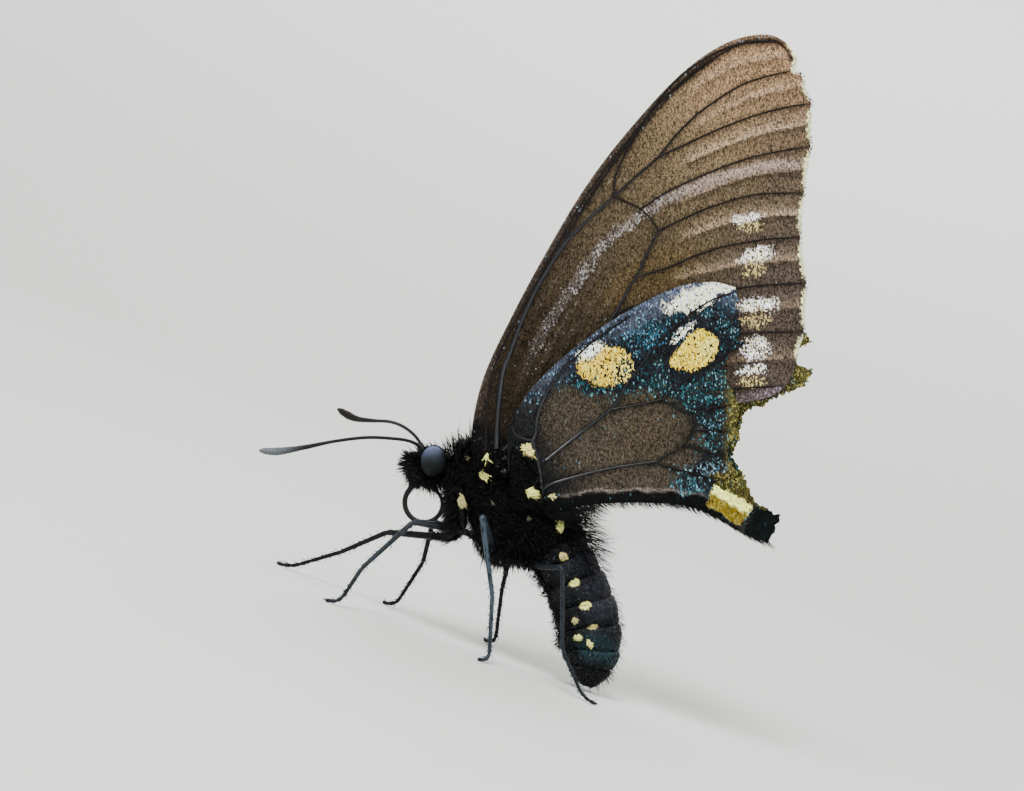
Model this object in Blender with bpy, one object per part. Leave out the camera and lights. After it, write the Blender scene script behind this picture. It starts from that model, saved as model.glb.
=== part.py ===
"""A life-size swallowtail butterfly (pipevine swallowtail, female) standing on six feet with its
wings closed over its back and its abdomen curled down to lay an egg. The hind wings are worn.

Run it with blender --background --python part.py, or from Blender's text editor.

Two frames are used. The specimen frame has its origin between the wing roots: X runs to the
tail, Y to the animal's right and Z up along the closed wings, and every point below is given in
it, in millimetres. The parent empty "stance" turns that frame onto the floor, which is the
world's plane z = 0, so the feet stand level and the fore body rises.
"""

import math

import bmesh
import bpy
from mathutils import Vector

MM = 0.001

# ---- Driving dimensions, in millimetres unless they say otherwise ----
STANCE_TILT_DEG = 20.7  # how far the specimen frame leans back from the floor
ROOT_HEIGHT = 17.7  # wing roots above the floor
CENTRE_X = -2.60  # puts the middle of the bounding box over the world's origin
CENTRE_Y = -2.515
GAP = 0.3  # air between neighbouring solids
WING_THICK = 0.5
WING_REST_OFFSET = 0.55  # fore wing's mid-surface from the animal's middle, where the wings meet
WING_ROOT_FLARE = 2.2  # how much further out the wings stand at their roots
WING_FLARE_RANGE = 5.0  # the height over which that flare dies away
WING_SPREAD = 0.02  # slope by which the closed wings part towards their tips
HIND_WING_OUTSIDE = WING_THICK + GAP  # the hind wing lies outside the fore wing
TARSUS_RADIUS = 0.27
TARSUS_HEIGHT = 0.2  # centre of the last foot joint above the floor, so its underside is cut flat
TRUNK_SIDES = 20
LEG_SIDES = 8
FEELER_SIDES = 6

FLOOR_UP = Vector(
    (math.sin(math.radians(STANCE_TILT_DEG)), 0, math.cos(math.radians(STANCE_TILT_DEG)))
)

# ---- Trunk: (x, z, lean of the section in degrees, half height, half width), neck to tail ----
NECK, COLLAR, WAIST = 0, 2, 8  # stations where the trunk is parted
TRUNK_STATIONS = [
    (-4.9, -0.5, 8, 1.60, 1.35),
    (-4.2, -0.6, 10, 2.25, 1.85),
    (-3.2, -1.0, 13, 3.00, 2.35),
    (-2.0, -2.0, 18, 4.20, 2.80),
    (-0.5, -3.3, 22, 5.20, 3.05),
    (1.2, -4.5, 27, 5.60, 3.15),
    (2.8, -5.7, 33, 5.00, 3.05),
    (4.0, -6.9, 42, 3.80, 2.80),
    (4.9, -8.0, 52, 3.20, 2.55),
    (5.7, -9.4, 60, 3.05, 2.75),
    (6.7, -11.3, 64, 3.10, 2.95),
    (7.6, -13.4, 70, 3.20, 3.00),
    (8.3, -15.6, 78, 3.15, 2.95),
    (8.6, -17.8, 86, 2.95, 2.75),
    (8.6, -19.6, 92, 2.40, 2.20),
    (8.45, -20.8, 96, 1.50, 1.45),
    (8.3, -21.55, 100, 0.50, 0.55),
]
DORSAL_TAPER = 0.08  # how much narrower the back is than the belly
SEGMENT_BULGE = 1.035  # each abdominal ring swells this much between its joints

# ---- Head ----
HEAD_CENTRE, HEAD_RADII = (-6.8, 0.0, -0.45), (1.55, 1.70, 1.75)
EYE_CENTRE, EYE_RADII = (-6.25, 1.45, -0.10), (1.25, 1.05, 1.55)
PALP_PATH = [(-7.0, 0.55, -1.7), (-8.1, 0.60, -1.6), (-8.7, 0.60, -0.7), (-8.8, 0.55, 0.4)]
PALP_RADII = [0.30, 0.42, 0.40, 0.25]
PROBOSCIS_CENTRE = (-7.15, -4.15)
PROBOSCIS_START_DEG, PROBOSCIS_TURN_DEG = 118.0, 318.0
PROBOSCIS_RADIUS_OUT, PROBOSCIS_RADIUS_IN = 2.0, 1.55
PROBOSCIS_THICK = 0.5
NEAR_ANTENNA = [
    (-7.3, -0.5, 0.6),
    (-7.75, -0.7, 1.4),
    (-8.6, -1.1, 1.85),
    (-10.0, -1.7, 2.1),
    (-12.5, -2.6, 2.25),
    (-15.4, -3.5, 1.95),
    (-18.3, -4.3, 1.4),
    (-20.7, -4.8, 1.05),
    (-22.4, -5.1, 1.15),
]
FAR_ANTENNA = [
    (-7.2, 0.5, 0.6),
    (-7.6, 1.0, 1.5),
    (-8.3, 2.2, 2.3),
    (-9.45, 4.2, 3.0),
    (-10.9, 6.8, 3.35),
    (-12.7, 9.2, 3.35),
    (-14.4, 11.2, 3.45),
    (-15.5, 12.5, 3.85),
    (-16.4, 13.3, 4.35),
]
ANTENNA_RADII = [0.27, 0.25, 0.25, 0.25, 0.25, 0.25, 0.31, 0.40, 0.25]

# ---- Wing outlines in the (x, z) plane ----
FORE_COSTA = [
    (-2.4, -1.2),
    (-2.6, 3.0),
    (-1.5, 8.0),
    (1.1, 13.6),
    (4.2, 19.4),
    (8.1, 25.9),
    (12.4, 31.5),
    (17.2, 36.6),
    (21.4, 39.4),
    (25.0, 40.15),
    (27.0, 39.3),
    (27.7, 38.2),
]
FORE_VEIN_ENDS = [
    (28.5, 36.2),
    (29.35, 33.7),
    (29.3, 29.7),
    (28.7, 25.3),
    (28.35, 21.1),
    (28.95, 16.8),
    (28.75, 12.2),
    (27.9, 9.2),
]
FORE_SCALLOP = 0.3  # depth of the hollow between two vein ends
FORE_TIP_NICK = (27.5, 37.0)
FORE_TORNUS = [(27.4, 7.6), (26.1, 6.3), (24.3, 5.75), (22.0, 5.4)]
FORE_INNER_MARGIN = [(16.0, 3.3), (9.0, 0.7), (2.2, -1.8)]
HIND_COSTA = [
    (0.8, -0.8),
    (0.8, 2.2),
    (1.5, 4.7),
    (3.4, 7.3),
    (6.3, 10.05),
    (10.0, 12.9),
    (14.0, 15.2),
    (17.0, 16.5),
    (20.0, 16.9),
    (22.2, 16.4),
]
NEAR_HIND_TEAR = [
    (22.4, 15.4),
    (22.1, 14.6),
    (22.6, 13.2),
    (22.7, 12.0),
    (22.3, 11.4),
    (23.4, 11.3),
    (21.6, 10.1),
    (21.1, 9.2),
    (21.3, 8.1),
    (21.8, 7.0),
    (22.2, 6.0),
    (22.5, 5.0),
    (22.3, 4.1),
    (21.9, 3.3),
    (22.9, 2.6),
    (21.9, 2.1),
    (21.6, 1.2),
    (21.4, 0.4),
    (21.9, -0.3),
    (22.4, -1.0),
    (21.5, -1.6),
    (20.2, -2.1),
    (22.2, -3.1),
    (24.3, -4.2),
    (25.6, -4.8),
    (26.5, -5.1),
    (26.2, -6.0),
    (25.7, -6.9),
]
FAR_HIND_TEAR = [
    (25.0, 15.5),
    (27.6, 13.6),
    (28.7, 12.3),
    (29.7, 11.3),
    (28.4, 10.4),
    (28.3, 8.9),
    (29.9, 8.6),
    (29.5, 7.7),
    (29.1, 6.9),
    (27.0, 6.2),
    (25.0, 5.2),
    (23.5, 4.6),
    (22.9, 4.2),
    (23.2, 3.4),
    (22.8, 2.5),
    (22.9, 1.8),
    (22.1, 0.4),
    (22.6, -0.4),
    (23.3, -1.6),
    (23.8, -2.6),
    (24.3, -3.9),
    (26.0, -5.4),
    (25.8, -6.8),
]
HIND_INNER_MARGIN = [
    (25.3, -7.7),
    (23.5, -7.0),
    (21.5, -5.9),
    (19.4, -4.75),
    (16.5, -4.05),
    (12.5, -3.85),
    (8.5, -4.0),
    (5.0, -4.6),
    (3.0, -4.3),
]
WING_BEND_HEIGHTS = [0.8, 1.8, 2.8, 3.8, 5.0, 6.5, 8.5, 11.0, 16.0, 26.0]

# ---- Legs: hip, hip joint, knee, heel, toe as (x, y, z). The toe's z comes from the floor. ----
LEGS = {
    "leg_left_front": [(-3.9, -1.2, -2.6), (-3.6, -1.7, -6.5), (-8.1, -4.2, -5.6),
                       (-12.8, -5.6, -9.8), (-16.1, -6.8)],
    "leg_left_middle": [(0.0, -1.4, -7.2), (-0.5, -2.9, -8.4), (-1.6, -6.2, -4.8),
                        (-0.6, -7.0, -12.2), (-1.9, -8.0)],
    "leg_left_hind": [(2.4, -1.2, -8.4), (2.6, -2.9, -9.8), (5.9, -6.2, -9.7),
                      (5.9, -7.2, -17.2), (9.0, -8.2)],
    "leg_right_front": [(-3.9, 1.2, -2.6), (-4.2, 1.8, -7.6), (-11.0, 4.4, -7.25),
                        (-15.6, 5.7, -9.3), (-21.9, 7.0)],
    "leg_right_middle": [(-0.2, 1.4, -7.0), (-1.8, 2.4, -7.6), (-6.6, 5.0, -6.3),
                         (-7.6, 6.2, -10.3), (-11.6, 7.6)],
    "leg_right_hind": [(2.2, 1.3, -8.6), (2.3, 3.0, -9.6), (2.0, 6.3, -5.6),
                       (0.1, 7.0, -12.8), (-1.7, 8.0)],
}
COXA_RADII = {"front": 0.68, "middle": 0.55, "hind": 0.55}
FEMUR_RADIUS, KNEE_RADIUS, SHIN_RADIUS = 0.38, 0.32, 0.27
KNEE_ROUNDING = 0.45  # the joints' bends start this far before the corner
TOE_LENGTH = 1.3  # the last foot joint, which lies along the floor

# ---- Colours (linear RGB), roughness ----
MATERIALS = {
    "black_fur": ((0.006, 0.006, 0.008), 0.85),
    "abdomen_scales": ((0.012, 0.020, 0.028), 0.55),
    "leg_shell": ((0.020, 0.024, 0.032), 0.45),
    "eye_shell": ((0.030, 0.040, 0.060), 0.15),
    "fore_wing_scales": ((0.145, 0.098, 0.060), 0.60),
    "hind_wing_scales": ((0.060, 0.062, 0.060), 0.50),
}


def clear_scene():
    for old in list(bpy.data.objects):
        bpy.data.objects.remove(old, do_unlink=True)


def material(name):
    """The Principled material of this name, made the first time it is asked for."""
    found = bpy.data.materials.get(name)
    if found:
        return found
    colour, roughness = MATERIALS[name]
    made = bpy.data.materials.new(name)
    made.use_nodes = True
    shader = made.node_tree.nodes["Principled BSDF"]
    shader.inputs["Base Color"].default_value = (*colour, 1)
    shader.inputs["Roughness"].default_value = roughness
    shader.inputs["Metallic"].default_value = 0.0
    return made


def make_object(name, shape, finish, parent, smooth_deg=35):
    """Turns a bmesh in millimetres into an object in metres under parent."""
    bmesh.ops.recalc_face_normals(shape, faces=shape.faces)
    bmesh.ops.scale(shape, vec=(MM, MM, MM), verts=shape.verts)
    mesh = bpy.data.meshes.new(name)
    shape.to_mesh(mesh)
    shape.free()
    mesh.materials.append(material(finish))
    mesh.shade_smooth()
    mesh.set_sharp_from_angle(angle=math.radians(smooth_deg))
    made = bpy.data.objects.new(name, mesh)
    bpy.context.scene.collection.objects.link(made)
    made.parent = parent
    return made


def as_cutter(made):
    """A cutter shapes other solids and is no part of the model."""
    made.hide_render = True
    made.display_type = "WIRE"
    return made


def cut_away(made, *cutters):
    """Keeps made clear of each cutter with a Boolean difference."""
    for cutter in cutters:
        cut = made.modifiers.new("clear_of_" + cutter.name, "BOOLEAN")
        cut.operation = "DIFFERENCE"
        cut.solver = "EXACT"
        cut.object = cutter


def smooth_curve(points, per_span=3):
    """Points along a Catmull-Rom curve through the given points, ends included."""
    vectors = [Vector(p) for p in points]
    padded = [2 * vectors[0] - vectors[1], *vectors, 2 * vectors[-1] - vectors[-2]]
    curve = []
    for before, start, end, after in zip(padded, padded[1:], padded[2:], padded[3:]):
        for step in range(per_span):
            t = step / per_span
            curve.append(
                0.5 * (2 * start + (end - before) * t
                       + (2 * before - 5 * start + 4 * end - after) * t**2
                       + (3 * start - before - 3 * end + after) * t**3)
            )
    return curve + [vectors[-1]]


def between(values, share):
    """The value at this share, 0 to 1, of the way through a list of evenly spread values."""
    place = share * (len(values) - 1)
    low = min(int(place), len(values) - 2)
    return values[low] + (values[low + 1] - values[low]) * (place - low)


def skin_rings(shape, rings):
    """Joins rings of vertices into one closed body, and returns nothing."""
    for ring, following in zip(rings, rings[1:]):
        count = len(ring)
        for i in range(count):
            j = (i + 1) % count
            shape.faces.new((ring[i], ring[j], following[j], following[i]))
    shape.faces.new(reversed(rings[0]))
    shape.faces.new(rings[-1])


def tube(path, radii, sides):
    """A round tube whose radius changes along the path. Its rings turn with the path and don't twist."""
    shape = bmesh.new()
    rings = []
    across = Vector((0, 1, 0))
    for i, centre in enumerate(path):
        ahead = (path[min(i + 1, len(path) - 1)] - path[max(i - 1, 0)]).normalized()
        across = (across - across.dot(ahead) * ahead).normalized()
        up = ahead.cross(across)
        ring = []
        for k in range(sides):
            turn = 2 * math.pi * k / sides
            ring.append(shape.verts.new(
                centre + radii[i] * (math.cos(turn) * across + math.sin(turn) * up)))
        rings.append(ring)
    skin_rings(shape, rings)
    return shape


def ellipsoid(centre, radii, segments, rings):
    shape = bmesh.new()
    bmesh.ops.create_uvsphere(shape, u_segments=segments, v_segments=rings, radius=1.0)
    bmesh.ops.scale(shape, vec=radii, verts=shape.verts)
    bmesh.ops.translate(shape, vec=centre, verts=shape.verts)
    return shape


# ---- Trunk ----
def trunk_rings():
    """Every section of the trunk: the stations, with one more half-way between each two."""
    rows = smooth_curve([Vector(row) for row in TRUNK_STATIONS], per_span=2)
    for i, row in enumerate(rows):
        if i % 2 and i > 2 * WAIST:
            row[3] *= SEGMENT_BULGE
            row[4] *= SEGMENT_BULGE
    return rows


def trunk_shape(grown_by=0.0):
    """The whole trunk in one piece, from the neck to the tip of the abdomen."""
    shape = bmesh.new()
    rings = []
    for x, z, lean, half_height, half_width in trunk_rings():
        up = Vector((math.sin(math.radians(lean)), 0, math.cos(math.radians(lean))))
        ring = []
        for k in range(TRUNK_SIDES):
            turn = 2 * math.pi * k / TRUNK_SIDES
            width = (half_width + grown_by) * (1 - DORSAL_TAPER * math.sin(turn))
            ring.append(shape.verts.new(
                Vector((x, width * math.cos(turn), z))
                + (half_height + grown_by) * math.sin(turn) * up))
        rings.append(ring)
    skin_rings(shape, rings)
    return shape


def part_trunk(station, side):
    """(point, direction) of the cut at a station, half the gap towards side, which is 1 or -1."""
    x, z, lean = TRUNK_STATIONS[station][:3]
    along = Vector((math.cos(math.radians(lean)), 0, -math.sin(math.radians(lean))))
    return Vector((x, 0, z)) + along * side * GAP / 2, along


def trunk_piece(name, first, last, finish, parent):
    """The trunk between two stations. The neck and the tail tip need no cut."""
    shape = trunk_shape()
    for station, side in ((first, 1), (last, -1)):
        if station in (NECK, len(TRUNK_STATIONS) - 1):
            continue
        point, along = part_trunk(station, side)
        cut = bmesh.ops.bisect_plane(
            shape, geom=[*shape.verts, *shape.edges, *shape.faces], dist=1e-5,
            plane_co=point, plane_no=along, clear_inner=side > 0, clear_outer=side < 0)
        rim = [e for e in cut["geom_cut"] if isinstance(e, bmesh.types.BMEdge)]
        bmesh.ops.edgeloop_fill(shape, edges=rim)
    return make_object(name, shape, finish, parent)


def build_trunk(parent):
    trunk_piece("prothorax", NECK, COLLAR, "black_fur", parent)
    trunk_piece("thorax", COLLAR, WAIST, "black_fur", parent)
    last_station = len(TRUNK_STATIONS) - 1
    joints = [*range(WAIST, last_station - 1), last_station]
    for number, (first, last) in enumerate(zip(joints, joints[1:]), start=1):
        trunk_piece(f"abdomen_{number}", first, last, "abdomen_scales", parent)


# ---- Head ----
def build_head(parent, trunk_room):
    """The head with a socket for each eye. Returns the room that feelers have to keep clear of."""
    room = ellipsoid(HEAD_CENTRE, [r + GAP for r in HEAD_RADII], 20, 12)
    head_room = as_cutter(make_object("head_room", room, "black_fur", parent))
    head = make_object("head", ellipsoid(HEAD_CENTRE, HEAD_RADII, 20, 12), "black_fur", parent)
    cut_away(head, trunk_room)
    eye_rooms = []
    for side, sign in (("left", -1), ("right", 1)):
        centre = (EYE_CENTRE[0], sign * EYE_CENTRE[1], EYE_CENTRE[2])
        make_object(f"eye_{side}", ellipsoid(centre, EYE_RADII, 18, 10), "eye_shell", parent)
        grown = ellipsoid(centre, [r + GAP for r in EYE_RADII], 18, 10)
        eye_rooms.append(as_cutter(make_object(f"eye_room_{side}", grown, "eye_shell", parent)))
    cut_away(head, *eye_rooms)
    return [head_room, *eye_rooms]


def build_antenna(name, points, parent, rooms):
    path = smooth_curve(points, per_span=2)
    radii = [between(ANTENNA_RADII, i / (len(path) - 1)) for i in range(len(path))]
    made = make_object(name, tube(path, radii, FEELER_SIDES), "leg_shell", parent, 50)
    cut_away(made, *rooms)


def build_palp(name, sign, parent, rooms):
    path = smooth_curve([(x, sign * y, z) for x, y, z in PALP_PATH], per_span=2)
    radii = [between(PALP_RADII, i / (len(path) - 1)) for i in range(len(path))]
    made = make_object(name, tube(path, radii, FEELER_SIDES), "black_fur", parent, 50)
    cut_away(made, *rooms)


def build_proboscis(parent, rooms):
    """One open turn of a spiral, starting under the face and winding inwards."""
    steps = 26
    path = []
    for i in range(steps + 1):
        share = i / steps
        turn = math.radians(PROBOSCIS_START_DEG + PROBOSCIS_TURN_DEG * share)
        radius = PROBOSCIS_RADIUS_OUT + (PROBOSCIS_RADIUS_IN - PROBOSCIS_RADIUS_OUT) * share
        path.append(Vector((PROBOSCIS_CENTRE[0] + radius * math.cos(turn), 0,
                            PROBOSCIS_CENTRE[1] + radius * math.sin(turn))))
    radii = [PROBOSCIS_THICK / 2] * len(path)
    made = make_object("proboscis", tube(path, radii, FEELER_SIDES), "leg_shell", parent, 50)
    cut_away(made, *rooms)


# ---- Wings ----
def scalloped(ends, depth):
    """A margin that runs through the vein ends and is hollowed between them."""
    points = [Vector(ends[0])]
    for start, end in zip(ends, ends[1:]):
        start, end = Vector(start), Vector(end)
        inward = Vector((end.y - start.y, start.x - end.x)).normalized()
        points += [start.lerp(end, t) + inward * depth * math.sin(math.pi * t)
                   for t in (0.25, 0.5, 0.75)]
        points.append(end)
    return points


def fore_wing_outline():
    return [
        *smooth_curve(FORE_COSTA, per_span=2),
        Vector(FORE_TIP_NICK),
        *scalloped(FORE_VEIN_ENDS, FORE_SCALLOP),
        *[Vector(p) for p in FORE_TORNUS],
        *[Vector(p) for p in FORE_INNER_MARGIN],
    ]


def hind_wing_outline(tear):
    return [
        *smooth_curve(HIND_COSTA, per_span=2),
        *[Vector(p) for p in tear],
        *smooth_curve(HIND_INNER_MARGIN, per_span=2),
    ]


WING_UP = Vector((0.526, 0.0, 0.8505))  # away from the hinge line, along the closed wing


def wing_offset(height):
    """How far the fore wing's mid-surface stands out from the animal's middle."""
    flare = WING_ROOT_FLARE * math.exp(-((height / WING_FLARE_RANGE) ** 2))
    return WING_REST_OFFSET + flare + WING_SPREAD * max(height, 0)


def build_wing(name, outline, sign, outside, finish, parent, trunk_room):
    """A plate of even thickness cut to the outline, then bent: it flares out at its root."""
    shape = bmesh.new()
    shape.faces.new([shape.verts.new((p.x, 0, p.y)) for p in outline])
    for height in WING_BEND_HEIGHTS:
        bmesh.ops.bisect_plane(
            shape, geom=[*shape.verts, *shape.edges, *shape.faces], dist=1e-5,
            plane_co=WING_UP * height, plane_no=WING_UP)
    for vert in shape.verts:
        vert.co.y = sign * (wing_offset(vert.co.dot(WING_UP)) + outside)
    bmesh.ops.triangulate(shape, faces=shape.faces, ngon_method="EAR_CLIP")
    made = make_object(name, shape, finish, parent, 30)
    plate = made.modifiers.new("thickness", "SOLIDIFY")
    plate.thickness = WING_THICK * MM
    plate.offset = 0
    cut_away(made, trunk_room)


def build_wings(parent, trunk_room):
    for side, sign, tear in (("left", -1, NEAR_HIND_TEAR), ("right", 1, FAR_HIND_TEAR)):
        build_wing(f"fore_wing_{side}", fore_wing_outline(), sign, 0.0,
                   "fore_wing_scales", parent, trunk_room)
        build_wing(f"hind_wing_{side}", hind_wing_outline(tear), sign, HIND_WING_OUTSIDE,
                   "hind_wing_scales", parent, trunk_room)


# ---- Legs ----
def above_floor(x, y, height):
    """The point of the specimen frame over (x, y) that stands this high above the floor."""
    return Vector((x, y, (height - ROOT_HEIGHT - x * FLOOR_UP.x) / FLOOR_UP.z))


def leg_path(joints, coxa_radius):
    """(points, radii) from hip to toe: straight limbs, each joint rounded, the toe flat on the floor."""
    hip, trochanter, knee, heel = [Vector(j) for j in joints[:4]]
    toe = above_floor(*joints[4], TARSUS_HEIGHT)
    toe_way = toe - above_floor(heel.x, heel.y, TARSUS_HEIGHT)
    ball = toe - toe_way.normalized() * TOE_LENGTH
    corners = [hip, trochanter, knee, heel, ball, toe]
    thick = [coxa_radius, FEMUR_RADIUS, KNEE_RADIUS, SHIN_RADIUS, TARSUS_RADIUS, TARSUS_RADIUS]
    points, radii = [hip], [thick[0]]
    for i in range(1, len(corners) - 1):
        before, corner, after = corners[i - 1], corners[i], corners[i + 1]
        start = corner + (before - corner).normalized() * KNEE_ROUNDING
        end = corner + (after - corner).normalized() * KNEE_ROUNDING
        for t in (0.0, 0.33, 0.67, 1.0):
            points.append((1 - t) ** 2 * start + 2 * t * (1 - t) * corner + t**2 * end)
            radii.append(thick[i])
    points.append(toe)
    radii.append(thick[-1])
    return points, radii


def build_leg(name, joints, parent, trunk_room):
    points, radii = leg_path(joints, COXA_RADII[name.split("_")[-1]])
    shape = tube(points, radii, LEG_SIDES)
    cut = bmesh.ops.bisect_plane(
        shape, geom=[*shape.verts, *shape.edges, *shape.faces], dist=1e-5,
        plane_co=above_floor(0, 0, 0), plane_no=FLOOR_UP, clear_inner=True)
    rim = [e for e in cut["geom_cut"] if isinstance(e, bmesh.types.BMEdge)]
    bmesh.ops.edgeloop_fill(shape, edges=rim)
    made = make_object(name, shape, "leg_shell", parent, 50)
    cut_away(made, trunk_room)


def main():
    clear_scene()
    stance = bpy.data.objects.new("stance", None)
    bpy.context.scene.collection.objects.link(stance)
    stance.rotation_euler = (0, -math.radians(STANCE_TILT_DEG), 0)
    stance.location = (CENTRE_X * MM, CENTRE_Y * MM, ROOT_HEIGHT * MM)
    room = make_object("trunk_room", trunk_shape(grown_by=GAP), "black_fur", stance)
    trunk_room = as_cutter(room)
    build_trunk(stance)
    head_rooms = build_head(stance, trunk_room)
    build_antenna("antenna_left", NEAR_ANTENNA, stance, head_rooms)
    build_antenna("antenna_right", FAR_ANTENNA, stance, head_rooms)
    build_palp("palp_left", -1, stance, head_rooms)
    build_palp("palp_right", 1, stance, head_rooms)
    build_proboscis(stance, head_rooms)
    build_wings(stance, trunk_room)
    for name, joints in LEGS.items():
        build_leg(name, joints, stance, trunk_room)


main()
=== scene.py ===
# %% [markdown]
# # A swallowtail butterfly that stops to lay an egg
# This notebook dresses a plain solid model of a pipevine swallowtail. The solids give every size
# and place; the cells below add what makes it an insect: thin torn wings with veins and scales,
# one furry skin, faceted eyes, jointed feelers and legs. All sizes here are in millimetres.

# %% Load the solids
import math

import bpy
import numpy as np
from mathutils import Matrix, Vector


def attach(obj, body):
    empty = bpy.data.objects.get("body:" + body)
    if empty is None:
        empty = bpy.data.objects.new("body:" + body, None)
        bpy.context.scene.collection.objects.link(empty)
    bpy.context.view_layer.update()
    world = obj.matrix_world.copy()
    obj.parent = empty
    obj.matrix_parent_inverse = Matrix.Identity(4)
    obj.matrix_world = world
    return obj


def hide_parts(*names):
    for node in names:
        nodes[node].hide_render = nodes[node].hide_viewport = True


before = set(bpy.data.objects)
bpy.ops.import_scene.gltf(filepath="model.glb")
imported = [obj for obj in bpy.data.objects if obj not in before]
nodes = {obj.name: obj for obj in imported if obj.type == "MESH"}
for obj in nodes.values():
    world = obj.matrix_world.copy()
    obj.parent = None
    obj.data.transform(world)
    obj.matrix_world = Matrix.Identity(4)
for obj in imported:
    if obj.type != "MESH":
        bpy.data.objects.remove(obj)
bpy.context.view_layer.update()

# %% [markdown]
# ## The specimen's own axes
# The insect leans back on its feet, so it is easier to work along its own axes: X to the tail,
# Y to its right side and Z up along the closed wings, from a point between the wing roots.
# One matrix carries that frame, in millimetres, onto the floor, in metres.

# %% Specimen frame
MM = 0.001
STANCE_TILT = math.radians(20.7)
ROOT_PLACE = Vector((-2.60, -2.515, 17.7))
STANCE = (Matrix.Translation(ROOT_PLACE * MM) @ Matrix.Rotation(-STANCE_TILT, 4, "Y")
          @ Matrix.Scale(MM, 4))
FLOOR_UP = np.array([math.sin(STANCE_TILT), 0.0, math.cos(STANCE_TILT)])


def to_world(places):
    """Specimen places, as an array of rows in millimetres, in world metres."""
    turn = np.array(STANCE)
    return np.asarray(places) @ turn[:3, :3].T + turn[:3, 3]


def to_specimen(places):
    """The other way: world metres in specimen millimetres."""
    back = np.array(STANCE.inverted())
    return np.asarray(places) @ back[:3, :3].T + back[:3, 3]


def above_floor(x, y, height):
    """The specimen place over (x, y) that stands this high above the floor."""
    return np.array([x, y, (height - ROOT_PLACE.z - x * FLOOR_UP[0]) / FLOOR_UP[2]])


print("wing roots stand", round(float(to_world([[0, 0, 0]])[0, 2]) * 1000, 1), "mm above the floor")

# %% [markdown]
# ## Small helpers for shapes
# A line through a few chosen points is made smooth with a Catmull-Rom curve, which passes
# through every point. Distances from such lines place veins, folds and marks later on.


# %% Lines and distances
def smooth_line(points, per_span=6):
    """Rows along a Catmull-Rom curve through the points. It works in two or three dimensions."""
    rows = np.asarray(points, float)
    padded = np.vstack([2 * rows[0] - rows[1], rows, 2 * rows[-1] - rows[-2]])
    shares = np.arange(per_span)[:, None] / per_span
    spans = []
    for before, start, end, after in zip(padded, padded[1:], padded[2:], padded[3:]):
        spans.append(0.5 * (2 * start + (end - before) * shares
                            + (2 * before - 5 * start + 4 * end - after) * shares**2
                            + (3 * start - before - 3 * end + after) * shares**3))
    return np.vstack([*spans, rows[-1:]])


def run_along(line):
    """How far along the line each of its points is."""
    return np.concatenate([[0], np.cumsum(np.linalg.norm(np.diff(line, axis=0), axis=1))])


def rows_at(places, run, rows):
    """The rows at these places along the run, or between them."""
    return np.column_stack([np.interp(places, run, column) for column in rows.T])


def distance_to(line, places):
    """(distance, share along the line, side) of each (x, z) place. Side is positive to the left."""
    starts, steps, run = line[:-1], np.diff(line, axis=0), run_along(line)
    lengths = np.linalg.norm(steps, axis=1)
    best = np.full(len(places), np.inf)
    share, side = np.zeros(len(places)), np.ones(len(places))
    for start, step, length, before in zip(starts, steps, lengths, run):
        away = places - start
        along = np.clip(away @ step / length**2, 0, 1)
        gap = away - along[:, None] * step
        far = np.hypot(gap[:, 0], gap[:, 1])
        nearer = far < best
        best[nearer] = far[nearer]
        share[nearer] = ((before + along * length) / run[-1])[nearer]
        side[nearer] = np.sign(step[0] * away[:, 1] - step[1] * away[:, 0])[nearer]
    return best, share, side


def soft(value, low, high):
    """0 below low, 1 above high and a smooth rise between. low may be the larger one."""
    t = np.clip((value - low) / (high - low), 0, 1)
    return t * t * (3 - 2 * t)


def turned(places, centre, turn_deg):
    """How far the places are from the centre, along a turned direction and across it."""
    turn = math.radians(turn_deg)
    x, z = (places - np.asarray(centre)).T
    return x * math.cos(turn) + z * math.sin(turn), z * math.cos(turn) - x * math.sin(turn)


def blob(places, centre, radii, turn_deg=0.0, fade=0.45):
    """1 in the middle of an ellipse, 0.5 on its rim and 0 outside. fade is how soft the rim is."""
    along, across = turned(places, centre, turn_deg)
    return soft(np.hypot(along / radii[0], across / radii[1]), 1 + fade, 1 - fade)


def panel(places, centre, halves, turn_deg, fade=0.15):
    """1 inside a turned rectangle. halves are half its length and half its width."""
    sizes = zip(np.abs(turned(places, centre, turn_deg)), halves)
    return np.prod([soft(size, half + fade, half - fade) for size, half in sizes], axis=0)


def wander(places, amount=0.22):
    """The places moved a little by slow waves, so that no mark is a perfect ellipse."""
    x, z = places.T
    return places + amount * np.column_stack([
        np.sin(2.1 * x + 1.3 * z) + 0.7 * np.sin(5.3 * x - 3.7 * z + 1),
        np.sin(1.7 * x - 2.3 * z + 2) + 0.7 * np.sin(3.9 * x + 5.1 * z)])


# %% [markdown]
# ## Small helpers for pieces
# Every piece is made with the same few steps: select nothing, add or convert, apply what is live,
# then give it its material and attach it to the root. Long thin things are a curve with a round
# bevel whose radius changes from point to point, turned into a mesh.


# %% Piece helpers
def select_only(piece):
    bpy.ops.object.select_all(action="DESELECT")
    piece.select_set(True)
    bpy.context.view_layer.objects.active = piece


def place_mesh(piece, places):
    """Moves the piece's vertices to these specimen places."""
    piece.data.vertices.foreach_set("co", to_world(places).astype(np.float32).ravel())
    piece.data.update()


def own_points(piece, kind="co"):
    """The piece's points, or with "normal" its normals, as rows in its own coordinates."""
    flat = np.empty(len(piece.data.vertices) * 3)
    piece.data.vertices.foreach_get(kind, flat)
    return flat.reshape(-1, 3)


def specimen_points(piece):
    return to_specimen(own_points(piece))


def with_depth(plan, y):
    """Rows of (x, z) as specimen places at this y."""
    return np.column_stack([plan[:, 0], y, plan[:, 1]])


def add_ball(segments, rings):
    """A sphere of radius 1, which is squeezed and placed later."""
    bpy.ops.object.select_all(action="DESELECT")
    bpy.ops.mesh.primitive_uv_sphere_add(segments=segments, ring_count=rings, radius=1)
    return bpy.context.object


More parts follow.
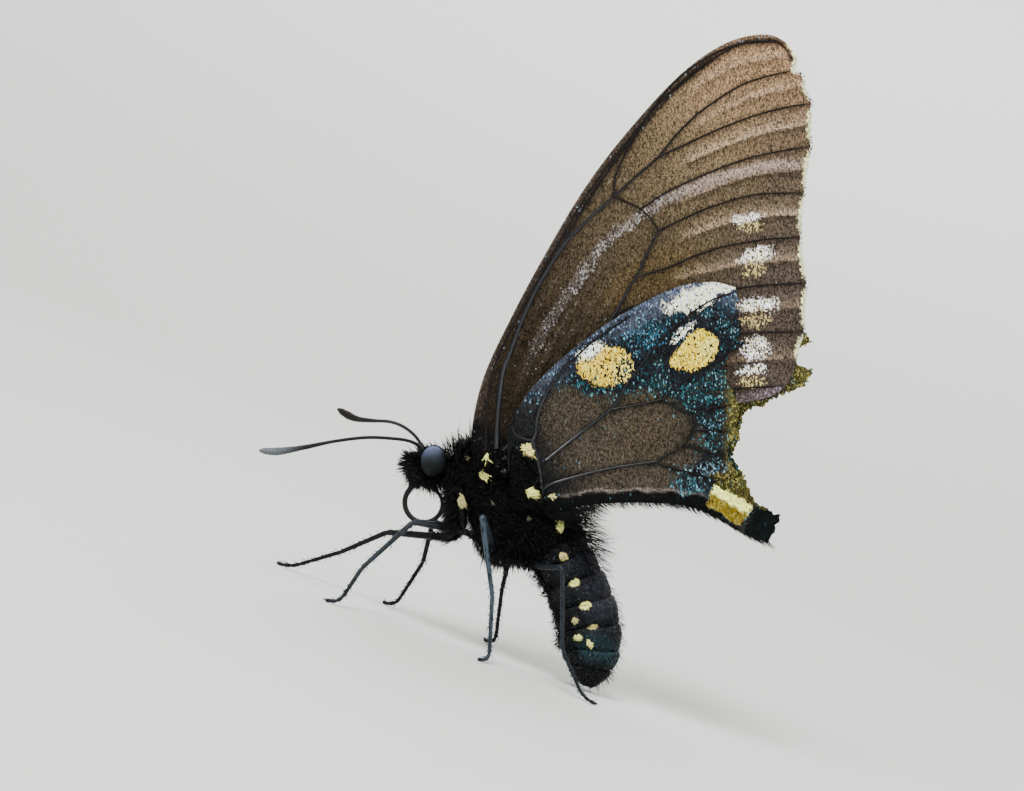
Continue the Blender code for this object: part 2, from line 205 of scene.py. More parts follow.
def paint_points(piece, name, columns):
    """Stores up to four numbers a vertex, which a material reads by name."""
    values = np.zeros((len(piece.data.vertices), 4))
    for i, column in enumerate(columns):
        values[:, i] = column
    layer = piece.data.attributes.new(name, "FLOAT_COLOR", "POINT")
    layer.data.foreach_set("color", values.astype(np.float32).ravel())


def mend(piece, merge=None, outward=False):
    """Merges points closer than this, and turns the faces outwards where that is asked for."""
    select_only(piece)
    bpy.ops.object.mode_set(mode="EDIT")
    bpy.ops.mesh.select_all(action="SELECT")
    if merge:
        bpy.ops.mesh.remove_doubles(threshold=merge)
    if outward:
        bpy.ops.mesh.normals_make_consistent(inside=False)
    bpy.ops.object.mode_set(mode="OBJECT")


def new_piece(name, data):
    """An object in the scene with this mesh or curve."""
    piece = bpy.data.objects.new(name, data)
    bpy.context.scene.collection.objects.link(piece)
    return piece


def swept(name, lines, sides=8):
    """One mesh of round tubes. Each line is (places, radii) in specimen millimetres."""
    curve = bpy.data.curves.new(name, "CURVE")
    curve.dimensions = "3D"
    curve.bevel_depth = MM
    curve.bevel_resolution = (sides - 4) // 2
    curve.use_fill_caps = True
    for places, radii in lines:
        spline = curve.splines.new("POLY")
        spline.points.add(len(places) - 1)
        rows = np.column_stack([to_world(places), np.ones(len(places))])
        spline.points.foreach_set("co", rows.astype(np.float32).ravel())
        spline.points.foreach_set("radius", np.asarray(radii, np.float32))
    piece = new_piece(name, curve)
    select_only(piece)
    bpy.ops.object.convert(target="MESH")
    mend(piece, 1e-7, outward=True)
    bpy.ops.object.shade_smooth_by_angle(angle=math.radians(50))
    return piece


def join(name, pieces):
    """Joins pieces into the first one, under a new name."""
    bpy.ops.object.select_all(action="DESELECT")
    for piece in pieces:
        piece.select_set(True)
    bpy.context.view_layer.objects.active = pieces[0]
    bpy.ops.object.join()
    pieces[0].name = name
    return pieces[0]


def hand_in(piece, material, slot, *solids):
    """Gives a piece its material and body, and hides the solids it stands for. slot is not used."""
    piece.data.materials.clear()
    piece.data.materials.append(material)
    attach(piece, "root")
    if solids:
        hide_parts(*solids)
    print(piece.name, len(piece.data.polygons), "faces")


# %% [markdown]
# ## Shader maths as Python
# A material is a small formula: so much brown here, a pale scale there. `Signal` wraps a node's
# output so that the formula can be written with + and *, and `Finish` adds every other node
# through one method.


# %% Signals and finishes
class Signal:
    """A number that changes over a surface. Each operator adds one Math node."""

    def __init__(self, finish, socket):
        self.finish, self.socket = finish, socket

    def _math(self, operation, first, second):
        return self.finish.node("ShaderNodeMath", {"operation": operation}, {0: first, 1: second})

    def __add__(self, other):
        return self._math("ADD", self, other)

    __radd__ = __add__

    def __mul__(self, other):
        return self._math("MULTIPLY", self, other)

    __rmul__ = __mul__

    def __sub__(self, other):
        return self._math("SUBTRACT", self, other)

    def __rsub__(self, other):
        return self._math("SUBTRACT", other, self)


class Finish:
    """A material on Blender's Principled shader, with its nodes added one by one."""

    def __init__(self, name, **constants):
        self.material = bpy.data.materials.new(name)
        self.material.use_nodes = True
        self.tree = self.material.node_tree
        self.shader = self.tree.nodes["Principled BSDF"]
        for socket, value in constants.items():
            self.shader.inputs[socket.replace("_", " ")].default_value = value

    def node(self, kind, settings=None, sockets=None, out=0):
        """Adds a node and returns its output as a Signal. A ramp's stops count as a setting."""
        made = self.tree.nodes.new(kind)
        for key, value in (settings or {}).items():
            if key == "stops":
                ramp = made.color_ramp
                while len(ramp.elements) < len(value):
                    ramp.elements.new(0.5)
                for element, (place, colour) in zip(ramp.elements, value):
                    element.position = place
                    element.color = colour
            else:
                setattr(made, key, value)
        for key, value in (sockets or {}).items():
            self.feed(made.inputs[key], value)
        return Signal(self, made.outputs[out])

    def feed(self, socket, value):
        if isinstance(value, Signal):
            self.tree.links.new(value.socket, socket)
        else:
            socket.default_value = value

    def split(self, colour):
        """The red, green and blue of a colour, or the x, y and z of a vector."""
        made = self.tree.nodes.new("ShaderNodeSeparateXYZ")
        self.feed(made.inputs[0], colour)
        return [Signal(self, output) for output in made.outputs]

    def step(self, value, low, high):
        """0 below low, 1 above high, and a smooth rise between."""
        return self.node("ShaderNodeMapRange", {"interpolation_type": "SMOOTHSTEP"},
                         {"Value": value, "From Min": low, "From Max": high})

    def mix(self, share, first, second):
        return self.node("ShaderNodeMix", {"data_type": "RGBA"}, {0: share, 6: first, 7: second}, 2)

    def brighten(self, colour, amount):
        """The colour multiplied by a number that changes over the surface."""
        return self.node("ShaderNodeVectorMath", {"operation": "SCALE"},
                         {0: colour, "Scale": amount})

    def painted_colour(self, name):
        """The colour that paint_points stored under this name."""
        return self.node("ShaderNodeAttribute", {"attribute_name": name})

    def painted(self, name):
        """The four numbers that paint_points stored under this name."""
        colour = self.painted_colour(name)
        return [*self.split(colour), Signal(self, colour.socket.node.outputs["Alpha"])]

    def cells(self, place, scale):
        """(distance from the cell's middle, the cell's random colour) in a Voronoi pattern."""
        distance = self.node("ShaderNodeTexVoronoi", {}, {"Vector": place, "Scale": scale})
        return distance, Signal(self, distance.socket.node.outputs["Color"])

    def specimen_place(self, stretch=(1, 1, 1), turn_deg=0.0):
        """The place in the specimen's own millimetres, turned and stretched for a pattern."""
        place = self.node("ShaderNodeTexCoord", out=3)
        back = STANCE.inverted()
        place = self.node("ShaderNodeMapping", {"vector_type": "POINT"}, {
            "Vector": place, "Location": back.translation, "Rotation": back.to_euler(),
            "Scale": (1 / MM, 1 / MM, 1 / MM)})
        return self.node("ShaderNodeMapping", {"vector_type": "POINT"}, {
            "Vector": place, "Rotation": (0, math.radians(turn_deg), 0), "Scale": stretch})

    def noise(self, place, scale, detail=2.0):
        return self.node("ShaderNodeTexNoise", {},
                         {"Vector": place, "Scale": scale, "Detail": detail})

    def grain(self, scale, detail=2.0):
        """Plain noise over the whole piece, with about this many grains to a millimetre."""
        return self.noise(self.specimen_place(), scale, detail)

    def wear(self, colour=None, roughness=None, bump=None, depth=0.02, metallic=None, coat=None):
        """Feeds the shader. depth is the bump's height in millimetres."""
        for name, value in (("Base Color", colour), ("Roughness", roughness),
                            ("Metallic", metallic), ("Coat Weight", coat)):
            if value is not None:
                self.feed(self.shader.inputs[name], value)
        if bump is not None:
            raised = self.node("ShaderNodeBump", {}, {"Height": bump, "Distance": depth * MM})
            self.feed(self.shader.inputs["Normal"], raised)
        return self.material


LIGHT_LEVEL = 2.0  # how strongly the studio lights a surface that faces the camera
BRIGHTEST = 0.93


def rgb(red, green, blue):
    """The surface colour that looks like this screen colour, 0 to 255, in the studio.

    The view rolls off bright light as film does: on screen, light x gives about
    3.4 x^0.8 / (1 + 3.4 x^0.8). This turns that round.
    """
    shares = [c / 256 for c in (red, green, blue)]
    return tuple(min((s / (1 - s) / 3.4) ** 1.25 / LIGHT_LEVEL, BRIGHTEST) for s in shares) + (1.0,)


print("screen grey 128 is a surface of", round(rgb(128, 128, 128)[0], 3))

# %% [markdown]
# ## The camera, the floor and the light
# The camera looks almost square onto the closed wings, from two degrees above, and is rolled with
# the leaning insect, so that the body lies level in the view. The floor bends up into a backdrop
# behind it, made from a plane whose far edge is extruded upwards and then rounded with a bevel.

# %% Camera
LENS_MM, SENSOR_MM = 100.0, 36.0
VIEW_WIDTH_MM = 97.28
LOOK_DOWN = math.radians(2)
VIEW_MIDDLE = STANCE @ Vector((1.14, 0.0, 6.13))
view_distance = VIEW_WIDTH_MM * LENS_MM / SENSOR_MM * MM
look = Vector((0, math.cos(LOOK_DOWN), -math.sin(LOOK_DOWN)))
view_up = Vector((-FLOOR_UP[0], 0, FLOOR_UP[2]))
view_up = (view_up - view_up.dot(look) * look).normalized()

bpy.ops.object.camera_add()
camera = bpy.context.object
camera.matrix_world = (Matrix.Translation(VIEW_MIDDLE - look * view_distance)
                       @ Matrix((look.cross(view_up), view_up, -look)).transposed().to_4x4())
camera.data.lens, camera.data.sensor_width = LENS_MM, SENSOR_MM
camera.data.clip_start, camera.data.clip_end = 0.001, 10
bpy.context.scene.camera = camera
print("the camera stands", round(view_distance * 1000), "mm away")

# %% Floor and backdrop
bpy.ops.object.select_all(action="DESELECT")
bpy.ops.mesh.primitive_plane_add(size=1)
studio = bpy.context.object
studio.name = "studio_floor"
bpy.ops.object.mode_set(mode="EDIT")
bpy.ops.transform.resize(value=(1.6, 1.1, 1))
bpy.ops.transform.translate(value=(0, -0.05, 0))
bpy.ops.object.mode_set(mode="OBJECT")
for edge in studio.data.edges:
    edge.select = all(studio.data.vertices[i].co.y > 0.1 for i in edge.vertices)
bpy.ops.object.mode_set(mode="EDIT")
bpy.ops.mesh.select_mode(type="EDGE")
bpy.ops.mesh.extrude_region_move(TRANSFORM_OT_translate={"value": (0, 0, 0.9)})
bpy.ops.object.mode_set(mode="OBJECT")
fold = studio.modifiers.new("soft_fold", "BEVEL")
fold.width, fold.segments = 0.22, 24
select_only(studio)
bpy.ops.object.modifier_apply(modifier=fold.name)
bpy.ops.object.shade_smooth()
paper = Finish("studio_paper", Roughness=0.9, Specular_IOR_Level=0.1)
# The paper is painted lighter up the backdrop, where less light reaches it: painted light that
# keeps the backdrop about as bright as the floor.
PAPER_TONES = (0.60, 0.61, 0.59, 1), (0.84, 0.85, 0.83, 1)
PAPER_RISE = 0.14  # metres above the floor at which the second tone is reached
height = paper.split(paper.node("ShaderNodeTexCoord", out=3))[2]
studio.data.materials.append(
    paper.wear(paper.mix(paper.step(height, 0.0, PAPER_RISE), *PAPER_TONES)))

# %% Lights
AIR_TONE, AIR_LIGHT = (0.9, 0.95, 1.0, 1), 0.3


def soft_light(name, place, aim, width, power):
    bpy.ops.object.light_add(type="AREA", location=place)
    light = bpy.context.object
    light.name = name
    light.data.size, light.data.energy = width, power
    light.rotation_euler = (Vector(aim) - Vector(place)).to_track_quat("-Z", "Y").to_euler()


soft_light("key", (-0.20, -0.34, 0.56), (0, 0, 0.02), 0.30, 7.4)
soft_light("fill", (0.50, -0.40, 0.22), (0, 0, 0.02), 0.40, 1.3)
soft_light("rim", (0.10, 0.30, 0.50), (0, 0, 0.03), 0.25, 2.0)
world = bpy.data.worlds.new("studio_air")
world.use_nodes = True
for socket, value in zip(("Color", "Strength"), (AIR_TONE, AIR_LIGHT)):
    world.node_tree.nodes["Background"].inputs[socket].default_value = value
bpy.context.scene.world = world

# %% [markdown]
# ## Wing plans
# A wing is a membrane stretched between stiff veins. It is first drawn flat: the leading edge is
# a smooth curve, the outer margin runs from vein end to vein end in shallow hollows, and the hind
# wings are worn, so their outer edge is a ragged tear.

# %% Outlines
FORE_COSTA = [(-2.4, -1.2), (-2.6, 3.0), (-1.5, 8.0), (1.1, 13.6), (4.2, 19.4), (8.1, 25.9),
              (12.4, 31.5), (17.2, 36.6), (21.4, 39.4), (25.0, 40.15), (27.0, 39.3), (27.7, 38.2)]
FORE_TIP_NICK = [(27.75, 37.7), (27.5, 37.0), (27.55, 36.6)]
FORE_VEIN_ENDS = [(28.5, 36.2), (29.35, 33.7), (29.3, 29.7), (28.7, 25.3), (28.35, 21.1),
                  (28.95, 16.8), (28.75, 12.2), (27.9, 9.2)]
FORE_TORNUS = [(27.9, 9.2), (27.4, 7.6), (26.1, 6.3), (24.3, 5.75), (22.0, 5.4)]
FORE_INNER_MARGIN = [(16.0, 3.3), (9.0, 0.7), (2.2, -1.8)]
HIND_COSTA = [(0.8, -0.8), (0.8, 2.2), (1.5, 4.7), (3.4, 7.3), (6.3, 10.05), (10.0, 12.9),
              (14.0, 15.2), (17.0, 16.5), (20.0, 16.9), (22.2, 16.4)]
NEAR_TEAR = [(22.4, 15.4), (22.1, 14.6), (22.6, 13.2), (22.7, 12.0), (22.3, 11.4), (23.4, 11.3),
             (21.6, 10.1), (21.1, 9.2), (21.3, 8.1), (21.8, 7.0), (22.2, 6.0), (22.5, 5.0),
             (22.3, 4.1), (21.9, 3.3), (22.9, 2.6), (21.9, 2.1), (21.6, 1.2), (21.4, 0.4),
             (21.9, -0.3), (22.4, -1.0), (21.5, -1.6), (20.2, -2.1), (22.2, -3.1), (24.3, -4.2),
             (25.6, -4.8), (26.5, -5.1), (26.2, -6.0), (25.7, -6.9)]
FAR_TEAR = [(25.0, 15.5), (27.6, 13.6), (28.7, 12.3), (29.7, 11.3), (28.4, 10.4), (28.3, 8.9),
            (29.9, 8.6), (29.5, 7.7), (29.1, 6.9), (27.0, 6.2), (25.0, 5.2), (23.5, 4.6),
            (22.9, 4.2), (23.2, 3.4), (22.8, 2.5), (22.9, 1.8), (22.1, 0.4), (22.6, -0.4),
            (23.3, -1.6), (23.8, -2.6), (24.3, -3.9), (26.0, -5.4), (25.8, -6.8)]
HIND_INNER_MARGIN = [(25.3, -7.7), (23.5, -7.0), (21.5, -5.9), (19.4, -4.75), (16.5, -4.05),
                     (12.5, -3.85), (8.5, -4.0), (5.0, -4.6), (3.0, -4.3)]
SCALLOP = 0.3


def scalloped(ends, depth, steps=14):
    """A margin through the vein ends, hollowed between them."""
    rows = []
    for start, end in zip(np.asarray(ends), np.asarray(ends)[1:]):
        inward = np.array([end[1] - start[1], start[0] - end[0]]) / np.linalg.norm(end - start)
        for t in np.arange(steps) / steps:
            rows.append(start + (end - start) * t + inward * depth * math.sin(math.pi * t) ** 0.7)
    return np.array([*rows, ends[-1]])


def evenly(line, step):
    """The same line with its points this far apart."""
    run = run_along(line)
    return rows_at(np.linspace(0, run[-1], max(2, round(run[-1] / step)) + 1), run, line)


def worn(line, seed, depth=0.13, step=0.22):
    """A torn edge: points close together, each pushed in or out a little at random."""
    rows = evenly(np.asarray(line, float), step)
    ahead = np.gradient(rows, axis=0)
    across = np.column_stack([ahead[:, 1], -ahead[:, 0]]) / np.linalg.norm(ahead, axis=1)[:, None]
    push = np.random.default_rng(seed).normal(0, depth, len(rows)).clip(-2 * depth, 1.4 * depth)
    push[[0, -1]] = 0
    return rows + across * push[:, None]


costa_line = evenly(smooth_line(FORE_COSTA), 0.4)
margin_line = np.vstack([[FORE_COSTA[-2], FORE_COSTA[-1]], FORE_TIP_NICK,
                         scalloped(FORE_VEIN_ENDS, SCALLOP)])
fore_outline = np.vstack([
    costa_line[:-1], worn([FORE_COSTA[-1], *FORE_TIP_NICK], 1, 0.05),
    worn(scalloped(FORE_VEIN_ENDS, SCALLOP), 2, 0.035)[:-1],
    evenly(smooth_line(FORE_TORNUS), 0.4), evenly(smooth_line(FORE_INNER_MARGIN), 0.6)])


def hind_outline(tear, seed):
    return np.vstack([evenly(smooth_line(HIND_COSTA), 0.4), worn(tear, seed),
                      evenly(smooth_line(HIND_INNER_MARGIN), 0.4)])


hind_outlines = {"left": hind_outline(NEAR_TEAR, 3), "right": hind_outline(FAR_TEAR, 4)}
print("outline points:", len(fore_outline), [len(line) for line in hind_outlines.values()])

# %% [markdown]
# ## Veins
# Veins are hollow struts. They start at the root as two or three thick trunks that enclose the
# cell, and fork towards the margin. Each one is a short list of places, and its thickness in the
# last two numbers, at its start and at its end.

# %% Vein lines
FORE_VEINS = {
    "radial_trunk": ([(-0.3, 1.2), (-0.2, 4), (0.2, 8), (1, 10.3), (2, 13), (3.2, 15.7), (4.5, 18),
                      (6, 20.3), (7.4, 21.9), (9, 23.4), (10.8, 25)], 0.28, 0.12),
    "costal": ([(-1.3, 1), (-1.2, 5), (-0.5, 9), (1.6, 13.4), (4.5, 18.7), (8.2, 25), (12.2, 30.4),
                (16.3, 35), (20.4, 38.2)], 0.09, 0.07),
    "radius_one": ([(5.6, 19.8), (6.5, 21.5), (10, 27), (14, 32.6), (16.5, 35), (22, 39),
                    (26, 39.6)], 0.10, 0.06),
    "radius_three": ([(10.8, 25), (10.8, 26.4), (11.5, 28.3), (13, 31), (15, 34), (17, 36.2),
                      (20, 38.3), (23, 39.3), (26.5, 39.4)], 0.10, 0.05),
    "radius_five": ([(10.8, 25), (13.5, 27.4), (15, 28.7), (16.5, 30.6), (18.3, 32.4), (20, 33.7),
                     (22, 35), (24, 35.9), (27.7, 36.8)], 0.11, 0.06),
    "median_one": ([(15, 28.7), (17, 29.6), (20, 31), (23, 32.2), (26, 33.1), (29.2, 33.7)],
                   0.09, 0.06),
    "cell_end": ([(10.8, 25), (13.2, 23.8), (14.2, 22.9), (15, 21.7)], 0.08, 0.07),
    "median_two": ([(13.2, 23.8), (13.8, 24.1), (16, 25.5), (20, 27.3), (24, 28.7), (29.2, 29.7)],
                   0.08, 0.06),
    "median_three": ([(15, 21.7), (17, 22.7), (20, 24), (24, 25.1), (28.6, 25.3)], 0.08, 0.06),
    "cubital_trunk": ([(0.3, 1.0), (3.6, 4.4), (7.4, 8.8), (10.5, 13.2), (12.3, 16.5), (13, 17.6),
                       (14, 19.8), (15, 21.7)], 0.17, 0.11),
    "cubitus_one": ([(13, 17.4), (16, 18.3), (18, 19.2), (21, 20.2), (25, 20.9), (28.2, 21.1)],
                    0.09, 0.06),
    "cubitus_two": ([(10.9, 13.9), (14, 15), (18, 15.7), (22.5, 16.3), (25, 16.6), (28.9, 16.8)],
                    0.09, 0.06),
    "anal_one": ([(7.4, 8.8), (13, 10.4), (19, 11.6), (24, 12.1), (28.6, 12.2)], 0.08, 0.06),
    "anal_two": ([(0.5, 0.2), (6, 2.6), (13, 5.1), (20, 6.6), (27.1, 7.1)], 0.13, 0.06),
}
HIND_VEINS = {
    "humeral": ([(1.2, 3.3), (1.4, 2.7), (1.9, 2.3), (2.6, 2.05), (3.1, 2.0)], 0.12, 0.13),
    "subcostal": ([(3.1, 2), (3.4, 2.7), (3.5, 4), (4, 5.6), (5, 7.3), (6.3, 9), (7.5, 10.1),
                   (9.2, 11.6), (12.5, 13.8)], 0.15, 0.07),
    "radius": ([(4.3, 0.1), (7, 2.2), (10, 4.5), (10.8, 5.2), (12, 7.3), (13.3, 9), (14.5, 10.6),
                (16, 12.2), (18, 13.9), (20, 15.2), (22, 15.9)], 0.15, 0.07),
    "cell_top": ([(10.4, 4.85), (12, 5.1), (14, 5.5), (15.3, 5.85)], 0.10, 0.09),
    "median_one": ([(15.3, 5.85), (16.5, 6.9), (18, 8), (20, 9.2), (21.5, 10.2), (22.6, 10.8)],
                   0.10, 0.08),
    "cell_end": ([(15.3, 5.8), (16.8, 5), (18.2, 4.3)], 0.10, 0.10),
    "median_two": ([(18.3, 4.3), (20, 5), (22.2, 5.4)], 0.09, 0.07),
    "cell_corner": ([(18.3, 4.3), (18.3, 2.95), (17.6, 1.7), (17.3, 1.4)], 0.09, 0.09),
    "median_three": ([(18.3, 2.95), (20, 2.9), (21.8, 2.85)], 0.09, 0.07),
    "cubitus_one": ([(17.5, 1.45), (19.5, 0.9), (21.5, 0.4)], 0.09, 0.07),
    "cubital_trunk": ([(4.0, -2.9), (4.4, -2.3), (6, -1.7), (10, -0.75), (14.5, -0.1), (15, 0.1),
                       (17.3, 1.4)], 0.14, 0.09),
    "cubitus_two": ([(14.5, -0.1), (16, -0.6), (18, -1.1), (20.5, -1.8)], 0.09, 0.07),
    "root": ([(3.1, 2), (3.7, -0.5), (4.0, -2.9)], 0.17, 0.17),
}
fore_veins = {name: smooth_line(points, 4) for name, (points, *_) in FORE_VEINS.items()}
hind_veins = {name: smooth_line(points, 4) for name, (points, *_) in HIND_VEINS.items()}
print(len(fore_veins), "veins a fore wing,", len(hind_veins), "a hind wing")

# %% [markdown]
# ## Pleats
# Half-way between two veins the membrane folds outward a little, which catches the light as a
# pale streak. A fold line lies midway between its two neighbours, so it needs no points.

# %% Folds and the wings' surface
FOLDS = [("radius_three", "radius_five", 17.0, 0.6), ("radius_five", "median_one", 17.5, 0.6),
         ("median_one", "median_two", 16.0, 0.9), ("median_two", "median_three", 16.0, 1.0),
         ("median_three", "cubitus_one", 16.0, 1.0), ("cubitus_one", "cubitus_two", 15.0, 1.0),
         ("cubitus_two", "anal_one", 16.0, 0.9), ("anal_one", "anal_two", 16.0, 0.8)]
FOLD_HEIGHT, FOLD_WIDTH = 0.2, 0.62
WING_UP = np.array([0.526, 0.8505])
WING_NET = 0.17
WING_SKIN = 0.12
HIND_OUTSIDE = 0.8


def fold_line(first, second, start):
    places = np.arange(start, 28.6, 0.6)
    heights = [np.interp(places, fore_veins[name][:, 0], fore_veins[name][:, 1])
               for name in (first, second)]
    return np.column_stack([places, (heights[0] + heights[1]) / 2])


fold_lines = [(fold_line(first, second, start), strength)
              for first, second, start, strength in FOLDS]


def rest_offset(places):
    """How far a closed fore wing stands out from the animal's middle, and how it flares below."""
    height = places @ WING_UP
    return 0.55 + 2.2 * np.exp(-((height / 5.0) ** 2)) + 0.02 * np.maximum(height, 0)


def fore_surface(places):
    """The fore wing's middle surface, pleated towards its margin."""
    rise = np.zeros(len(places))
    for line, strength in fold_lines:
        far, share, _ = distance_to(line, places)
        rise = np.maximum(rise, strength * np.exp(-((far / FOLD_WIDTH) ** 2))
                          * soft(share, 0.0, 0.8))
    return rest_offset(places) + FOLD_HEIGHT * rise


def hind_surface(places):
    """The hind wing's, which domes between its veins and ripples near its tear."""
    nearest = np.full(len(places), 9.0)
    for line in hind_veins.values():
        nearest = np.minimum(nearest, distance_to(line, places)[0])
    dome = 0.16 * soft(nearest, 0, 2.2)
    ripple = 0.05 * np.sin(places[:, 0] * 1.3 + places[:, 1] * 0.9) * soft(places[:, 0], 14, 21)
    return rest_offset(places) + HIND_OUTSIDE + dome + ripple


# %% [markdown]
# ## Wing sheets
# A circle is added with as many points as the outline, and each point is set on it. In edit mode
# the one large face is bisected again and again, first across and then along, into a net fine
# enough to bend. A plane would need the outline cut out of it, which is harder with its hollows.


# %% Making a sheet
def flat_sheet(name, outline):
    """A flat net in the specimen's (x, z) plane, in millimetres until it is bent."""
    bpy.ops.object.select_all(action="DESELECT")
    bpy.ops.mesh.primitive_circle_add(vertices=len(outline), radius=1, fill_type="NGON")
    piece = bpy.context.object
    piece.name = name
    for vertex, (x, z) in zip(piece.data.vertices, outline[::-1]):
        vertex.co = (x, 0, z)
    bpy.ops.object.mode_set(mode="EDIT")
    for column, normal in ((0, (1, 0, 0)), (1, (0, 0, 1))):
        low, high = outline[:, column].min(), outline[:, column].max()
        for place in np.arange(low + WING_NET / 3, high, WING_NET):
            bpy.ops.mesh.select_all(action="SELECT")
            bpy.ops.mesh.bisect(plane_co=[place * axis for axis in normal], plane_no=normal,
                                threshold=1e-4)
    bpy.ops.object.mode_set(mode="OBJECT")
    mend(piece, 0.02)
    return piece


def bend_sheet(piece, sign, surface):
    """Bends a flat sheet to its surface on one side of the body, and gives it a thickness."""
    plan = own_points(piece)[:, [0, 2]]
    place_mesh(piece, with_depth(plan, sign * surface(plan)))
    select_only(piece)
    if sign > 0:
        piece.data.flip_normals()
    skin = piece.modifiers.new("membrane", "SOLIDIFY")
    skin.thickness, skin.offset = WING_SKIN * MM, 0
    bpy.ops.object.modifier_apply(modifier=skin.name)
    bpy.ops.object.shade_smooth_by_angle(angle=math.radians(60))


fore_flat = flat_sheet("fore_wing_left", fore_outline)
hind_flats = {side: flat_sheet(f"hind_wing_{side}", line) for side, line in hind_outlines.items()}
print("wing nets:", len(fore_flat.data.polygons), len(hind_flats["left"].data.polygons), "faces")

# %% [markdown]
# ## Wing colours
# A wing's colour is the sum of its scales: each one has a single colour. So three layers are
# painted on the sheet. "ground" is the common scale's colour; on the fore wing it also holds
# painted highlights and painted shade along the folds. "mark" and "gleam" each hold a second
# colour, and the share of scales that have it. The material then deals each scale a random
# number and compares it with the share, which gives marks their frayed edges.


# %% Layers of scales
def colour_row(colour):
    """A screen colour as the surface's three numbers."""
    return np.array(rgb(*colour)[:3])


class Layer:
    """A colour and a share for each place, painted stroke by stroke."""

    def __init__(self, places, colour=(0, 0, 0), share=0.0):
        self.places = places
        self.colour = np.tile(colour_row(colour), (len(places), 1))
        self.share = np.full(len(places), float(share))

    def wash(self, mask, colour, share=None):
        """Mixes the colour in by the mask, and the share as well where one is given."""
        mask = np.clip(mask, 0, 1)
        self.colour += (colour_row(colour) - self.colour) * mask[:, None]
        if share is not None:
            self.share += (share - self.share) * mask

    def raise_to(self, share):
        """Raises the share to at least this much."""
        self.share = np.maximum(self.share, share)

    def dab(self, mask, colour, share):
        """A mark of this colour, with at least this share in its middle."""
        self.wash(mask, colour)
        self.raise_to(mask * share)

    def paint_on(self, piece, name):
        paint_points(piece, name, [*self.colour.T, self.share])


def fade(mask, *layers):
    """Takes the mask's part away from each layer's share."""
    for layer in layers:
        layer.share *= 1 - mask


def blend_along(values, stops):
    """Colours for the values, from stops of (value, (red, green, blue)) in screen colours."""
    marks, colours = zip(*stops)
    return rows_at(values, marks, np.array([colour_row(colour) for colour in colours]))


def beside(line, places, above, below, start=0.0, end=1.0):
    """1 on a band from below the line to above it, fading at its sides and beyond its ends."""
    far, share, side = distance_to(line, places)
    reach = np.where(side > 0, above, below)
    band = soft(far, np.maximum(reach, 1e-3) * 1.25, np.maximum(reach, 1e-3) * 0.45)
    return band * soft(share, start - 0.08, start + 0.08) * soft(share, end + 0.08, end - 0.08)


def ridge(line, places, high, low, start=-1.0):
    """Masks above and below a line, 1 on it and fading; over a fold, painted highlight and shade.
    """
    far, share, side = distance_to(line, places)
    here = soft(share, start - 0.08, start + 0.12)
    upper = soft(far * side, -0.12, 0.12)
    return np.array([np.exp(-far / high) * upper * here, np.exp(-far / low) * (1 - upper) * here])


# %% Fore wing, underside
# Centre, radii and turn of each pale spot, and which of its two kinds of scale it has.
FORE_SPOTS = [((23.4, 22.9), (1.5, 0.45), 12, "white"), ((23.7, 22.1), (1.1, 0.55), 5, "cream"),
              ((24.0, 19.4), (1.7, 0.75), 14, "white"), ((24.1, 18.1), (1.2, 0.75), 5, "cream"),
              ((24.3, 14.7), (1.8, 0.75), 4, "white"), ((24.2, 13.3), (1.5, 0.75), 0, "cream"),
              ((24.0, 10.6), (1.4, 1.05), 0, "white"), ((23.9, 8.6), (1.4, 0.5), 4, "white"),
              ((23.8, 7.5), (1.4, 0.5), 6, "cream")]
SPOT_SCALES = {"white": ((218, 216, 224), 0.60), "cream": ((200, 190, 150), 0.42)}
CELL_STREAK = [(1.5, 6.0), (4.5, 12.5), (8.0, 17.6), (10.0, 20.4), (12.0, 22.0), (14.0, 23.4),
               (16.0, 24.6), (20.0, 26.3), (25.0, 27.5), (28.5, 27.7)]


def vein_end_gap(places):
    """How far each place is from the nearest vein end of the fore wing's margin."""
    return np.linalg.norm(places[:, None] - np.array(FORE_VEIN_ENDS), axis=2).min(1)


